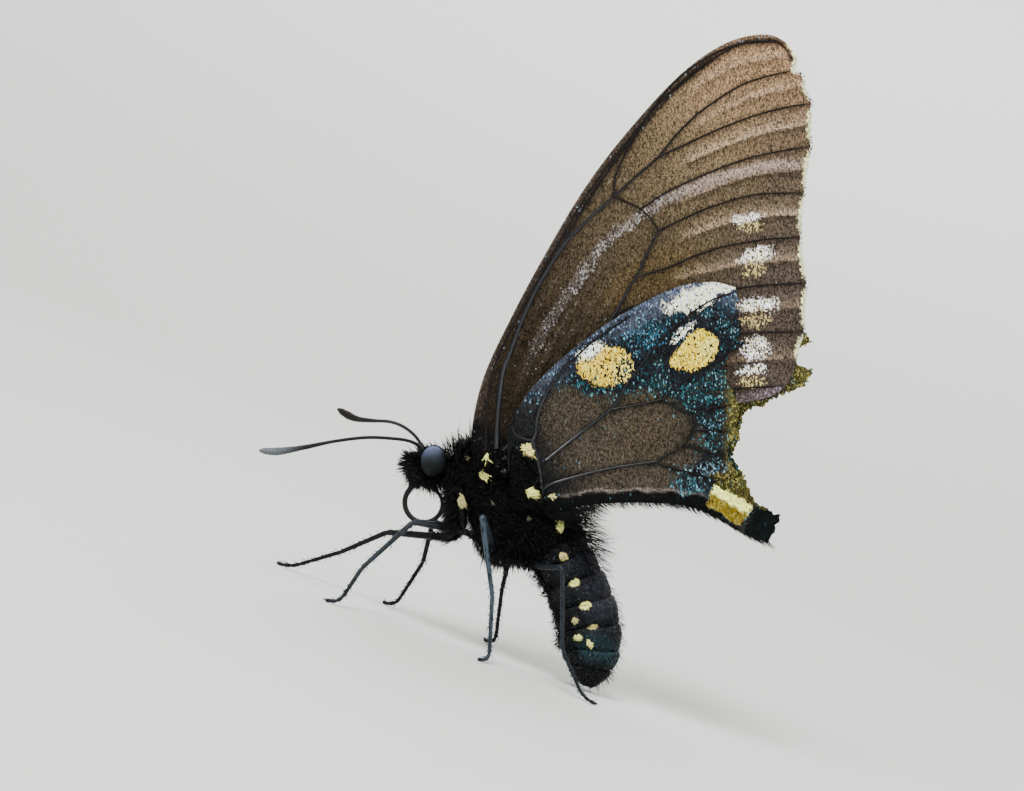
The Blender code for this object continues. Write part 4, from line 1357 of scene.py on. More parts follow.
class Scatter:
    """Random places on a piece's surface, with the surface's direction there."""

    def __init__(self, piece, seed):
        mesh = piece.data
        mesh.calc_loop_triangles()
        corners = np.empty(len(mesh.loop_triangles) * 3, np.int32)
        mesh.loop_triangles.foreach_get("vertices", corners)
        self.points, self.normals = specimen_points(piece), point_normals(piece)
        self.corners = corners.reshape(-1, 3)
        a, b, c = (self.points[self.corners[:, k]] for k in range(3))
        self.areas = np.linalg.norm(np.cross(b - a, c - a), axis=1) / 2
        self.middles = (a + b + c) / 3
        self.random = np.random.default_rng(seed)

    def grow(self, density):
        """Roots and normals, with this many to a square millimetre at each triangle's middle."""
        number = self.random.poisson(self.areas * density)
        chosen = np.repeat(np.arange(len(number)), number)
        share = self.random.dirichlet((1, 1, 1), len(chosen))[:, :, None]
        pick = self.corners[chosen]
        return (self.points[pick] * share).sum(1), unit((self.normals[pick] * share).sum(1))


def body_unrolled(roots):
    """A root's place on the skin rolled flat: along the trunk, and round it."""
    run, around, _ = trunk_place(roots)
    ahead = np.where(roots[:, 0] < -4.9, roots[:, 0] + 4.9, 0)
    turn = np.where(roots[:, 1] < 0, 90 - around, 270 + around) / 360
    return np.column_stack([0.03 + 0.94 * (run + ahead + 4.5) / (trunk_run[-1] + 4.5),
                            0.03 + 0.94 * np.clip(turn, 0, 1)])


# %% [markdown]
# The fur of head and thorax stands in small spiky clumps. It leans towards the tail, points
# forwards on the face, upwards behind the head and downwards under the chest. The abdomen has
# short flat scales, a fringe of hair along its belly, and long loose hairs on its back.

# %% Fur of the body
body_scatter = Scatter(skin, 11)


def clumped(roots, seed, spread, cell=0.9):
    """A shared random lean for neighbouring roots, so that they gather into clumps."""
    keys = np.floor(roots / cell + 100).astype(int) @ np.array([7919, 104729, 1299709])
    _, index = np.unique(keys, return_inverse=True)
    leans = np.random.default_rng(seed).normal(0, spread, (index.max() + 1, 3))
    return leans[index.reshape(-1)]


def rows_of(x, y, z, count):
    """The same direction for each of so many roots."""
    return np.tile(np.array([x, y, z], float), (count, 1))


def always(value):
    """A length or a lift that is the same over the whole coat."""
    return lambda roots, run, around: np.full(len(roots), value)


def heading(x, y, z):
    """A lie that is the same over the whole coat."""
    return lambda roots, tailward: rows_of(x, y, z, len(roots))


def grow_coat(name, density, length, stand, toward, width, seed, spread=0.25, thick=0.6, tall=0.0,
              slot="black_fur", material=fur):
    """A coat over the skin. length, stand and toward are worked out for each root.

    length is in millimetres, stand goes from 0, flat on the skin, to 1, upright, and toward is
    the way a flat hair points. tall is the share of hairs that stick out of the coat as spikes.
    """
    roots, facing = body_scatter.grow(density)
    random = np.random.default_rng(seed)
    run, around, tailward = trunk_place(roots)
    lengths = length(roots, run, around) * random.uniform(0.7, 1.25, len(roots))
    spiky = random.uniform(size=len(roots)) < tall
    lengths = lengths * np.where(spiky, 1.7, 1 - tall)
    lift = stand(roots, run, around)[:, None]
    lie = toward(roots, tailward)
    lean = clumped(roots, seed + 1, spread)
    jitter = random.normal(0, 0.12, (len(roots), 3))
    starts = unit(facing * lift + lie * (1 - lift) + lean * 0.5 + jitter)
    ends = unit(facing * lift * 0.6 + lie * (1.1 - lift) + lean + jitter)
    painted = body_colour(roots)
    if material is fur:
        painted.wash(np.sign(painted.share), BLACK)
    colours = painted.colour * random.uniform(0.5, 1.6, (len(roots), 1))
    piece = spikes(name, roots, facing, starts, ends, lengths,
                   width * random.uniform(0.7, 1.2, len(roots)) * np.where(spiky, 1.4, 1.0),
                   np.column_stack([colours, np.ones(len(roots))]), body_unrolled(roots), thick)
    hand_in(piece, material, slot)


def between(values, low, high):
    """Which of the values lie between the two."""
    return (values > low) & (values < high)


middles = body_scatter.middles
mid_x, mid_y, mid_z = middles.T
mid_run, mid_around, _ = trunk_place(middles)
on_head = mid_x < HEAD_END_X
eye_gap = (middles - np.array([-6.25, 0, -0.1]))[:, [0, 2]] / np.array([1.5, 1.8])
free_of_eye = ~((np.linalg.norm(eye_gap, axis=1) < 1) & (np.abs(mid_y) > 0.9))


def thorax_length(roots, run, around):
    return (0.85 + 0.75 * blob(roots[:, [0, 2]], (-4.1, 1.4), (1.7, 1.2))
            + 0.25 * (around < -55) - 0.15 * (roots[:, 0] > 3.5))


def thorax_lie(roots, tailward):
    x, _, z = roots.T
    down = np.array([0.1, 0, -1.0])
    under = soft(z, -6.0, -8.5)[:, None] * soft(x, 3, 1)[:, None]
    top = soft(z, 0.4, 1.2)[:, None]
    return unit(tailward * (1 - 0.6 * under - 0.5 * top) + down * under * 0.8
                + np.array([0.15, 0, 1.0]) * top * 0.9)


grow_coat("thorax_fur", np.where(on_head | (mid_run > 12.8), 0, 46.0), thorax_length,
          lambda roots, run, around: 0.35 + 0.2 * (roots[:, 2] > 0.6) + 0.15 * (roots[:, 2] < -7),
          thorax_lie, 0.050, 21, tall=0.08)


def head_lie(roots, tailward):
    x, _, z = roots.T
    front = soft(x, -6.6, -7.4)[:, None]
    below = soft(z, -1.3, -1.9)[:, None]
    back = soft(x, -6.6, -5.4)[:, None]
    return unit(np.array([-1.0, 0, 0.4]) * front + np.array([-0.3, 0, -1.0]) * below
                + np.array([0.7, 0, 0.8]) * back + 1e-3)


grow_coat("head_fur", np.where(on_head & free_of_eye, 60.0, 0),
          lambda roots, run, around: (0.62 + 0.8 * soft(roots[:, 2], -0.9, -1.8)
                                      + 0.5 * soft(roots[:, 0], -7.2, -7.9)
                                      + 0.7 * soft(roots[:, 0], -6.2, -5.2)),
          always(0.62), head_lie, 0.045, 31, 0.35, tall=0.10)

# %% [markdown]
# Longer hair stands up behind the head and hangs from the chest. The abdomen's scales come next,
# and then the loose hair over its back and along its belly.

# %% Neck, chest and abdomen
on_neck = between(mid_x, -6.3, -3.2) & (mid_z > -0.4) & (mid_around > 5)
on_chest = between(mid_x, -6.4, -2.0) & between(mid_z, -6.5, -0.9)
on_belly = between(mid_run, 11.5, 23)
grow_coat("neck_hair", np.where(on_neck, 20.0, 0), always(2.0), always(0.45),
          heading(-0.12, 0, 1.0), 0.045, 57, 0.4)
grow_coat("chest_hair", np.where(on_chest, np.where(mid_x < -3.6, 46.0, 14.0), 0),
          lambda roots, run, around: 1.1 + 1.0 * soft(roots[:, 0], -3.4, -4.4), always(0.35),
          heading(-0.25, 0, -1.0), 0.046, 59, 0.45)
grow_coat("abdomen_scales", np.where(mid_run > 12.2, 66.0, 0),
          lambda roots, run, around: 0.23 + 0.3 * soft(around, -40, -75) * soft(run, 22, 19),
          lambda roots, run, around: 0.06 + 0.45 * soft(around, -45, -75) * soft(run, 22, 19),
          lambda roots, tailward: tailward, 0.085, 41, 0.12, 0.25,
          slot="abdomen_scales", material=abdomen_gloss.material)
grow_coat("back_hair", np.where(mid_run > 9.5, 4.2 * soft(mid_around, 20, 55), 0)
          * (1 + 1.6 * soft(mid_run, 15.5, 12.5)),
          lambda roots, run, around: 1.0 + 2.6 * soft(run, 18.5, 12.5), always(0.5),
          lambda roots, tailward: unit(tailward * 1.0 + np.array([0.4, 0, -0.2])), 0.04, 51, 0.1)
grow_coat("belly_hair", np.where(on_belly, 16.0 * soft(mid_around, -30, -60), 0),
          lambda roots, run, around: 0.9 + 0.5 * soft(run, 20, 13), always(0.62),
          lambda roots, tailward: tailward, 0.05, 55, 0.6)

# %% [markdown]
# A tuft's roots come from one pool of places, so that neighbouring tufts don't overlap. Some
# tufts sit on a wing's root or on a front hip, where these hide the skin.

# %% The cream tufts
FORE_ROOT_X, HIND_ROOT_X = -2.3, 0.9  # where each wing's root begins, from the front


def outer_wing(plan):
    """(is it under a wing's root, that wing's outer face) of each plan place."""
    x, z = plan.T
    on_hind = (x > HIND_ROOT_X) & (z > -4.0)
    on_fore = (x <= HIND_ROOT_X) & (x > FORE_ROOT_X) & (z > -1.2)
    return on_hind | on_fore, np.where(on_hind, hind_surface(plan), fore_surface(plan)) + WING_SKIN


def tuft_pool(random, density=110.0):
    """Roots for the tufts: on the skin, on the wings that cover it, and on the front hips."""
    pool, facing = body_scatter.grow(np.full(len(middles), density))
    covered, outer = outer_wing(pool[:, [0, 2]])
    seen = ~covered | (np.abs(pool[:, 1]) > outer)
    corner, far_corner = np.array([FORE_ROOT_X, -4.0]), np.array([6.2, 2.0])
    plan = random.uniform(corner, far_corner, (round(np.prod(far_corner - corner) * density), 2))
    covered, outer = outer_wing(plan)
    plan, outer = plan[covered], outer[covered]
    extra = [with_depth(plan, sign * outer) for sign in (-1, 1)]
    sides = [rows_of(0, sign, 0, len(plan)) for sign in (-1, 1)]
    for sign in (-1, 1):
        share, turn = random.uniform(size=(1200, 1)), random.uniform(-1.3, 1.3, (1200, 1))
        out = np.hstack([-np.sin(turn), sign * np.cos(turn), 0 * turn])
        hip = np.array([-3.9, 1.2 * sign, -2.6]) + share * np.array([0.3, 0.5 * sign, -3.9])
        extra.append(hip + out * 0.66)
        sides.append(out)
    return np.vstack([pool[seen], *extra]), np.vstack([facing[seen], *sides])


def spot_tufts():
    """Pale flattened scales that fan out over each spot, on both sides of the body."""
    random = np.random.default_rng(61)
    parts = []
    pool, facing = tuft_pool(random)
    for centre, length, width, heading, fan, paleness in BODY_SPOTS:
        plan = pool[:, [0, 2]]
        turn = math.radians(heading)
        ahead = np.array([math.cos(turn), math.sin(turn)])
        base = np.array(centre) - ahead * length * (0.2 if fan < 120 else 0.0)
        inside = blob(plan, base, (length * 0.34, width * 0.34), heading, 0.1) > 0.5
        inside &= np.abs(pool[:, 1]) > 1.1
        roots, normals = pool[inside], facing[inside]
        off = roots[:, [0, 2]] - base
        across = off @ np.array([-ahead[1], ahead[0]]) / (width * 0.32)
        angle = (turn + np.radians(fan) / 2 * across if fan < 120
                 else np.arctan2(off[:, 1], off[:, 0]))
        angle = angle + random.normal(0, 0.2, len(roots))
        lie = np.column_stack([np.cos(angle), np.zeros(len(roots)), np.sin(angle)])
        lie = unit(lie - (lie * normals).sum(1, keepdims=True) * normals)
        tone = rgb(*spot_tone(paleness))
        lift = 0.18 if centre[1] < -7 else 0.30
        parts.append((roots + normals * lift, normals, lie + normals * 0.35, lie - normals * 0.05,
                      random.uniform(0.4, 1.1, len(roots)) * length * 0.4,
                      random.uniform(0.05, 0.09, len(roots)),
                      np.array(tone) * random.uniform(0.8, 1.12, (len(roots), 1))))
    return [np.concatenate(columns) for columns in zip(*parts)]


tuft_rows = spot_tufts()
tufts = spikes("cream_tufts", *tuft_rows, body_unrolled(tuft_rows[0]), 0.3, 0.12)
hand_in(tufts, pale_scales, "black_fur")

# %% [markdown]
# ## Hair on the wings
# The wings leave the chest under a mat of black fur, with a cream tuft on each root, so their
# first millimetres are furred as well. The outer margin carries a fringe of flat scales, cream in
# the hollows and dark at the vein ends, and long black hairs hang from the inner margin.


# %% Wing hair
def wing_unrolled(plan):
    """A root's place on the map of a wing."""
    return np.column_stack([(plan[:, 0] + 4) / 36, (plan[:, 1] + 9) / 51])


def on_wing(plan, sign, surface, lift=WING_SKIN / 2):
    """Places on a wing's outer face, or this far out from its middle."""
    return with_depth(plan, sign * (surface(plan) + lift))


def root_fur(side, sign):
    """Fur over both wing roots, and the cream tufts on them."""
    random = np.random.default_rng(71)
    plan = random.uniform((-2.6, -4.4), (5.2, 3.2), (5200, 2))
    x, z = plan.T
    keep_hind = ((x > HIND_ROOT_X) & (z < 1.2 + 0.2 * np.sin(7 * x)) & (z > -4.2)
                 & (x < 3.1 - 0.22 * z + 0.2 * np.sin(9 * z)))
    keep_fore = ((x > FORE_ROOT_X) & (x <= HIND_ROOT_X) & (z > -1.3)
                 & (z < 0.7 + 0.2 * np.sin(5 * x)))
    keep = (keep_hind | keep_fore) & (random.uniform(size=len(plan)) < 0.95)
    plan, on_hind = plan[keep], keep_hind[keep]
    count = len(plan)
    surface = np.where(on_hind, hind_surface(plan), fore_surface(plan)) + WING_SKIN / 2
    roots = with_depth(plan, sign * surface)
    facing = rows_of(0, sign, 0, count)
    lie = np.column_stack([0.5 + 0.3 * on_hind, np.zeros(count), np.where(on_hind, -0.35, 0.25)])
    jitter = random.normal(0, 0.16, (count, 3)) + clumped(roots, 72, 0.25)
    tone = np.column_stack([body_colour(roots).colour, np.ones(count)])
    tone = tone * random.uniform(0.6, 1.5, (count, 1))
    return spikes(f"wing_root_fur_{side}", roots, facing, lie + facing * 0.55 + jitter,
                  lie + facing * 0.1 + jitter, random.uniform(0.55, 1.0, count),
                  random.uniform(0.036, 0.055, count), tone, wing_unrolled(plan))


def inner_hairs(side, sign):
    """Long hairs along the hind wing's inner margin, the longest beside the abdomen."""
    random = np.random.default_rng(81)
    edge = evenly(smooth_line(HIND_INNER_MARGIN, 8), 0.11)
    edge = np.repeat(edge, 2, axis=0) + random.normal(0, 0.05, (2 * len(edge), 2)) + (0, 0.22)
    x = edge[:, 0]
    reach = 1.2 + 2.3 * soft(x, 10.5, 6) + 0.2 * soft(x, 17, 21)
    reach = reach * random.uniform(0.6, 1.2, len(edge))
    swing = random.normal(0, 0.16, len(edge))
    lie = np.column_stack([0.75 + 0.9 * soft(x, 12, 6) + swing,
                           random.normal(0, 0.12, len(edge)), -1.0 + 0 * x])
    roots = on_wing(edge, sign, hind_surface, -0.02)
    tone = np.array(rgb(9, 10, 10)) * random.uniform(0.6, 1.6, (len(edge), 1))
    return spikes(f"inner_margin_hair_{side}", roots, rows_of(0, sign, 0, len(edge)), lie,
                  lie + (0.45, 0, 0), reach, np.full(len(edge), 0.028), tone, wing_unrolled(edge))


def margin_fringe(side, sign):
    """Flat scales along the fore wing's outer margin."""
    random = np.random.default_rng(91)
    edge = evenly(np.vstack([worn([FORE_COSTA[-1], *FORE_TIP_NICK], 1, 0.05),
                             worn(scalloped(FORE_VEIN_ENDS, SCALLOP), 2, 0.035),
                             smooth_line(FORE_TORNUS)[1:]]), 0.05)
    edge = np.repeat(edge, 3, axis=0)
    ahead = unit(np.gradient(edge[::3], axis=0)).repeat(3, axis=0)
    out = np.column_stack([-ahead[:, 1], ahead[:, 0]]) * -1
    pale = vein_end_gap(edge) + random.normal(0, 0.18, len(edge))
    pale = soft(pale, 0.45, 0.85) * (edge[:, 1] > 9.0)
    keep = random.uniform(size=len(edge)) < 0.12 + 0.88 * pale
    edge, out, pale = edge[keep], out[keep], pale[keep]
    count = len(edge)
    edge = edge - out * random.uniform(0.06, 0.26, (count, 1))
    yellow = random.uniform(size=(count, 1)) < 0.3
    cream = np.where(yellow, np.array(rgb(206, 202, 150)), np.array(rgb(228, 227, 212)))
    tone = np.array(rgb(48, 38, 32)) * (1 - pale[:, None]) + cream * pale[:, None]
    lie = with_depth(out, random.normal(0, 0.15, count)) + random.normal(0, 0.18, (count, 3))
    facing = rows_of(0, sign, 0, count)
    return spikes(f"margin_fringe_{side}",
                  on_wing(edge, sign, fore_surface, random.uniform(-0.04, 0.06, count)),
                  facing, lie, lie, random.uniform(0.10, 0.20, count),
                  random.uniform(0.04, 0.065, count),
                  tone * random.uniform(0.8, 1.1, (count, 1)), wing_unrolled(edge), 0.25)


for side, sign in WING_SIDES.items():
    hand_in(root_fur(side, sign), fur, "black_fur")
    hand_in(inner_hairs(side, sign), fur, "hind_wing_scales")
    hand_in(margin_fringe(side, sign), pale_scales, "fore_wing_scales")

# %% Wing hinges
# Centre (x, z) and radii of the polished plates that show between the hairs of the wing roots.
HINGE_HALF_THICK = 0.2
HINGE_PLATES = [((0.55, 0.35), (0.36, 0.24)), ((0.5, -0.9), (0.42, 0.25)),
                ((-0.15, -0.4), (0.26, 0.18))]

for side, sign in WING_SIDES.items():
    plates = []
    for centre, radii in HINGE_PLATES:
        plate = add_ball(24, 14)
        places = own_points(plate)
        places *= 1 + 0.12 * np.sin(5 * places[:, :1] + 3 * places[:, 2:])
        outer = fore_surface(np.array([centre]))[0] + 0.22
        place_mesh(plate, places * (radii[0], HINGE_HALF_THICK, radii[1])
                   + (centre[0], sign * outer, centre[1]))
        plates.append(plate)
    hinges = join(f"wing_hinges_{side}", plates)
    bpy.ops.object.shade_smooth()
    paint_points(hinges, "thickness", [1.0])
    hand_in(hinges, vein_shell.material, "leg_shell")

# %% [markdown]
# ## Eyes
# A compound eye is a dome of thousands of tiny lenses. From outside it looks smooth and matt. Its
# colour runs from blue-grey on top to black below: partly the eye's own colour and partly a
# painted reflection of the sky. A sphere is squeezed to the eye's radii, and its inner half is
# flattened towards the head; the lenses are a fine cell pattern in the bump.

# %% Eyes
EYE_CENTRE, EYE_RADII = np.array([-6.30, 1.45, -0.08]), np.array([1.18, 1.02, 1.46])

eye_finish = Finish("eye_lens", Specular_IOR_Level=0.12)
# The painted reflection of the sky: blue-grey on top, black below.
sky = eye_finish.painted("sky")[0]
lenses = eye_finish.node("ShaderNodeTexVoronoi", {"feature": "SMOOTH_F1"},
                         {"Vector": eye_finish.specimen_place(), "Scale": 16.0, "Smoothness": 0.2})
sky_reflection_stops = [(0.0, rgb(5, 6, 7)), (0.4, rgb(14, 16, 19)), (0.65, rgb(35, 42, 52)),
             (0.85, rgb(78, 90, 116)), (1.0, rgb(112, 125, 156))]
sky_reflection_colour = eye_finish.node("ShaderNodeValToRGB", {"stops": sky_reflection_stops}, {0: sky})
eye_finish.wear(eye_finish.brighten(sky_reflection_colour, 0.85 + 0.3 * (1 - lenses)),
                0.42 + 0.2 * lenses, 1 - lenses, 0.02)

for side, sign in WING_SIDES.items():
    eye = add_ball(72, 48)
    eye.name = f"eye_dome_{side}"
    bpy.ops.object.mode_set(mode="EDIT")
    bpy.ops.transform.resize(value=EYE_RADII)
    bpy.ops.object.mode_set(mode="OBJECT")
    places = own_points(eye)
    inner = places[:, 1] * sign < 0
    places[inner, 1] *= 0.55
    # Painted reflection of the sky: lighter towards the top of the eye and a little towards its
    # front.
    sky_reflection_share = 0.5 + 0.5 * places[:, 2] / EYE_RADII[2] - 0.08 * places[:, 0] / EYE_RADII[0]
    place_mesh(eye, places + EYE_CENTRE * (1, sign, 1))
    paint_points(eye, "sky", [np.clip(sky_reflection_share, 0, 1)])
    select_only(eye)
    bpy.ops.object.shade_smooth()
    hand_in(eye, eye_finish.material, "eye_shell", f"eye_{side}")

# %% [markdown]
# ## Feelers, tongue and palps
# The feelers are strings of short joints that end in a club. The tongue is a hollow coil with a
# ring at every fold. Both are swept tubes, and a small wave in the radius makes the rings. The
# palps are two short arms beside the tongue, hidden in bristles.

# %% Feelers
NEAR_ANTENNA = [(-7.3, -0.5, 0.6), (-7.75, -0.7, 1.4), (-8.6, -1.1, 1.85), (-10.0, -1.7, 2.1),
                (-12.5, -2.6, 2.25), (-15.4, -3.5, 1.95), (-18.3, -4.3, 1.4), (-20.7, -4.8, 1.05),
                (-22.4, -5.1, 1.15)]
FAR_ANTENNA = [(-7.2, 0.5, 0.6), (-7.6, 1.0, 1.5), (-8.3, 2.2, 2.3), (-9.45, 4.2, 3.0),
               (-10.9, 6.8, 3.35), (-12.7, 9.2, 3.35), (-14.4, 11.2, 3.45), (-15.5, 12.5, 3.85),
               (-16.4, 13.3, 4.35)]
CLUB_PROFILE = ([0, 0.02, 0.08, 0.6, 0.78, 0.9, 0.97, 1.0],
                [0.26, 0.26, 0.17, 0.17, 0.27, 0.41, 0.33, 0.12])
JOINT_LENGTH = 0.34

feeler_shell = Finish("feeler_shell", Specular_IOR_Level=0.15)
# The third number is a painted highlight: it turns the near club pale grey; the far club keeps the
# dark colour.
club_share, ring_share, club_highlight_share, _ = feeler_shell.painted("feeler")
feeler_grain = feeler_shell.grain(8.0)
dark_feeler = feeler_shell.mix(club_share, rgb(11, 12, 14), rgb(19, 10, 8))
feeler_shell.wear(
    feeler_shell.brighten(feeler_shell.mix(club_highlight_share, dark_feeler, rgb(112, 118, 124)),
                          0.66 + 0.32 * ring_share + 0.4 * feeler_grain),
    0.42 + 0.2 * feeler_grain, feeler_grain, 0.02)


def resampled(line, step):
    """(points this far apart along the line, how far along it each one is)."""
    run = run_along(line)
    places = np.linspace(0, run[-1], round(run[-1] / step) + 1)
    return rows_at(places, run, line), places


def nearest_of(points, line):
    """Which of the line's points is nearest to each point."""
    return np.argmin(np.linalg.norm(points[:, None] - line[None], axis=2), axis=1)


# The last number gives only the near feeler's club its painted highlight.
for side, points, club_highlight in (("left", NEAR_ANTENNA, 1.0), ("right", FAR_ANTENNA, 0.0)):
    line, run = resampled(smooth_line(points, 12), 0.085)
    share = run / run[-1]
    waists = 1 - 0.13 * np.abs(np.cos(math.pi * run / JOINT_LENGTH)) ** 6
    feeler = swept(f"feeler_{side}", [(line, np.interp(share, *CLUB_PROFILE) * waists)], 12)
    nearest = nearest_of(specimen_points(feeler), line)
    along = share[nearest]
    paint_points(feeler, "feeler", [
        soft(along, 0.72, 0.86), np.abs(np.sin(math.pi * run[nearest] / JOINT_LENGTH)),
        soft(along, 0.72, 0.95) * club_highlight])
    hand_in(feeler, feeler_shell.material, "leg_shell", f"antenna_{side}")

# %% Tongue
TONGUE_CENTRE, TONGUE_START, TONGUE_TURN = np.array([-7.15, -4.15]), 118.0, 318.0
TONGUE_RING, TONGUE_POINTS = 0.16, 300
turns = np.radians(np.linspace(TONGUE_START - 16, TONGUE_START + TONGUE_TURN, TONGUE_POINTS))
coil = np.linspace(2.02, 1.55, TONGUE_POINTS)
tongue_line = np.column_stack([TONGUE_CENTRE[0] + coil * np.cos(turns), np.zeros(TONGUE_POINTS),
                               TONGUE_CENTRE[1] + coil * np.sin(turns)])
tongue_run = run_along(tongue_line)
tongue_radii = (np.interp(np.linspace(0, 1, TONGUE_POINTS), [0, 0.6, 0.95, 1],
                          [0.27, 0.23, 0.15, 0.07])
                * (1 + 0.05 * np.sin(2 * math.pi * tongue_run / TONGUE_RING)))
tongue_shell = Finish("tongue_shell", Specular_IOR_Level=0.2)
tongue_grain = tongue_shell.grain(7.0)
tongue_shell.wear(tongue_shell.mix(tongue_grain, rgb(8, 8, 9), rgb(26, 17, 15)),
                  0.4 + 0.2 * tongue_grain, tongue_grain, 0.02)
tongue = swept("tongue", [(tongue_line, tongue_radii)], 12)
hand_in(tongue, tongue_shell.material, "leg_shell", "proboscis")

# %% Palps and their bristles
PALP_TONE, PALP_BRISTLES = (8, 9, 9), 1600
PALP_PATH = [(-7.0, 0.55, -1.7), (-7.9, 0.60, -1.5), (-8.35, 0.60, -0.7), (-8.35, 0.55, 0.3)]
for side, sign in WING_SIDES.items():
    line, run = resampled(smooth_line([(x, sign * y, z) for x, y, z in PALP_PATH], 12), 0.1)
    radii = np.interp(run / run[-1], [0, 0.3, 0.8, 1], [0.2, 0.3, 0.26, 0.12])
    palp = swept(f"palp_core_{side}", [(line, radii)], 10)
    paint_points(palp, "hair_colour", rgb(*PALP_TONE))
    hand_in(palp, fur, "black_fur", f"palp_{side}")
    random = np.random.default_rng(101)
    count = PALP_BRISTLES
    pick = random.integers(0, len(line), count)
    facing = unit(random.normal(0, 1, (count, 3)))
    roots = line[pick] + facing * 0.2
    outward = unit(roots - np.array([-6.6, sign * 0.5, -0.35]))
    lie = unit(facing * 0.35 + outward + clumped(roots, 102, 0.22, 0.4))
    long = random.uniform(size=count) < 0.12
    bristles = spikes(f"palp_bristles_{side}", roots, facing, lie, lie + (-0.1, 0, -0.05),
                      np.where(long, random.uniform(0.95, 1.5, count),
                               random.uniform(0.35, 0.7, count)),
                      random.uniform(0.03, 0.045, count) * np.where(long, 1.6, 1.0),
                      np.array(rgb(*PALP_TONE)) * random.uniform(0.6, 1.7, (count, 1)),
                      body_unrolled(roots))
    hand_in(bristles, fur, "black_fur")

# %% [markdown]
# ## Legs
# A leg has a thick coxa at the body, then femur, tibia and a foot of five joints with two claws.
# One swept tube follows the whole leg. Its radius narrows at each joint, which is enough to read
# as separate links, and its spines and claws are spikes like the hair.

# %% Leg lines
# Hip, hip joint, knee, heel, and the toe's x and y on the floor.
LEGS = {
    "left_front": [(-3.9, -1.2, -2.6), (-3.6, -1.7, -6.5), (-8.1, -4.2, -5.6),
                   (-12.8, -5.6, -9.8), (-16.1, -6.8)],
    "left_middle": [(0.0, -1.4, -7.2), (-0.5, -2.9, -8.4), (-1.6, -6.2, -4.8),
                    (-0.6, -7.0, -12.2), (-1.9, -8.0)],
    "left_hind": [(2.4, -1.2, -8.4), (2.6, -2.9, -9.8), (5.9, -6.2, -9.7),
                  (5.9, -7.2, -17.2), (9.0, -8.2)],
    "right_front": [(-3.9, 1.2, -2.6), (-4.2, 1.8, -7.6), (-11.0, 4.4, -7.25),
                    (-15.6, 5.7, -9.3), (-21.9, 7.0)],
    "right_middle": [(-0.2, 1.4, -7.0), (-1.8, 2.4, -7.6), (-6.6, 5.0, -6.3),
                     (-7.6, 6.2, -10.3), (-11.6, 7.6)],
    "right_hind": [(2.2, 1.3, -8.6), (2.3, 3.0, -9.6), (2.0, 6.3, -5.6),
                   (0.1, 7.0, -12.8), (-1.7, 8.0)]}
TARSUS_HEIGHT, TOE_LENGTH, KNEE_ROUNDING, BALL_ROUNDING = 0.2, 1.3, 0.45, 1.1
# The near legs are painted lighter and bluer than the far ones, as painted light from the sky.
SKYLIT_NEAR_LEG_TONES = {"left_front": (44, 53, 62), "left_middle": (66, 83, 97), "left_hind": (32, 39, 50)}
FAR_LEG_TONE = (13, 15, 18)
FOOT_JOINTS = [0.46, 0.64, 0.78, 0.89]
COXA_RADII = {"front": 0.72, "middle": 0.45, "hind": 0.45}
LINK_RADII = [0.30, 0.36, 0.28, 0.26, 0.22, 0.205, 0.18, 0.12]  # from the hip joint to the toe
SLIM_LEGS = {"left_hind": 0.86}
# Step, length and width of the spines on the femur, the tibia and the foot.
SPINE_ROWS = [(0.11, 0.34, 0.045), (0.19, 0.54, 0.07), (0.14, 0.46, 0.07)]
SPUR_TURNS, SPUR_SIZE = (3.6, 5.2), (0.62, 0.045)
CLAW_SPREADS, CLAW_SIZE = (-0.8, 0.8), (0.34, 0.05)


def leg_line(joints):
    """(points, run, places of the joints along it) from hip to toe, with rounded corners."""
    hip, trochanter, knee, heel = [np.array(joint) for joint in joints[:4]]
    toe = above_floor(*joints[4], TARSUS_HEIGHT)
    ball = toe - unit(toe - above_floor(heel[0], heel[1], TARSUS_HEIGHT)) * TOE_LENGTH
    corners = [hip, trochanter, knee, heel, ball, toe]
    points = [hip]
    for before, corner, after in zip(corners, corners[1:], corners[2:]):
        rounding = BALL_ROUNDING if corner is ball else KNEE_ROUNDING
        start = corner + unit(before - corner) * rounding
        end = corner + unit(after - corner) * rounding
        points += [(1 - t) ** 2 * start + 2 * t * (1 - t) * corner + t**2 * end
                   for t in np.linspace(0, 1, 7)]
    points = np.array([*points, toe])
    at = run_along(points)[nearest_of(np.array(corners), points)]
    return *resampled(points, 0.07), at


leg_shell = Finish("leg_shell_detail", Specular_IOR_Level=0.14)
leg_tone = leg_shell.painted_colour("tone")
leg_grain = leg_shell.grain(7.0)
leg_shell.wear(leg_shell.brighten(leg_tone, 0.65 + 0.7 * leg_grain),
               0.24 + 0.2 * leg_grain, leg_grain, 0.03)


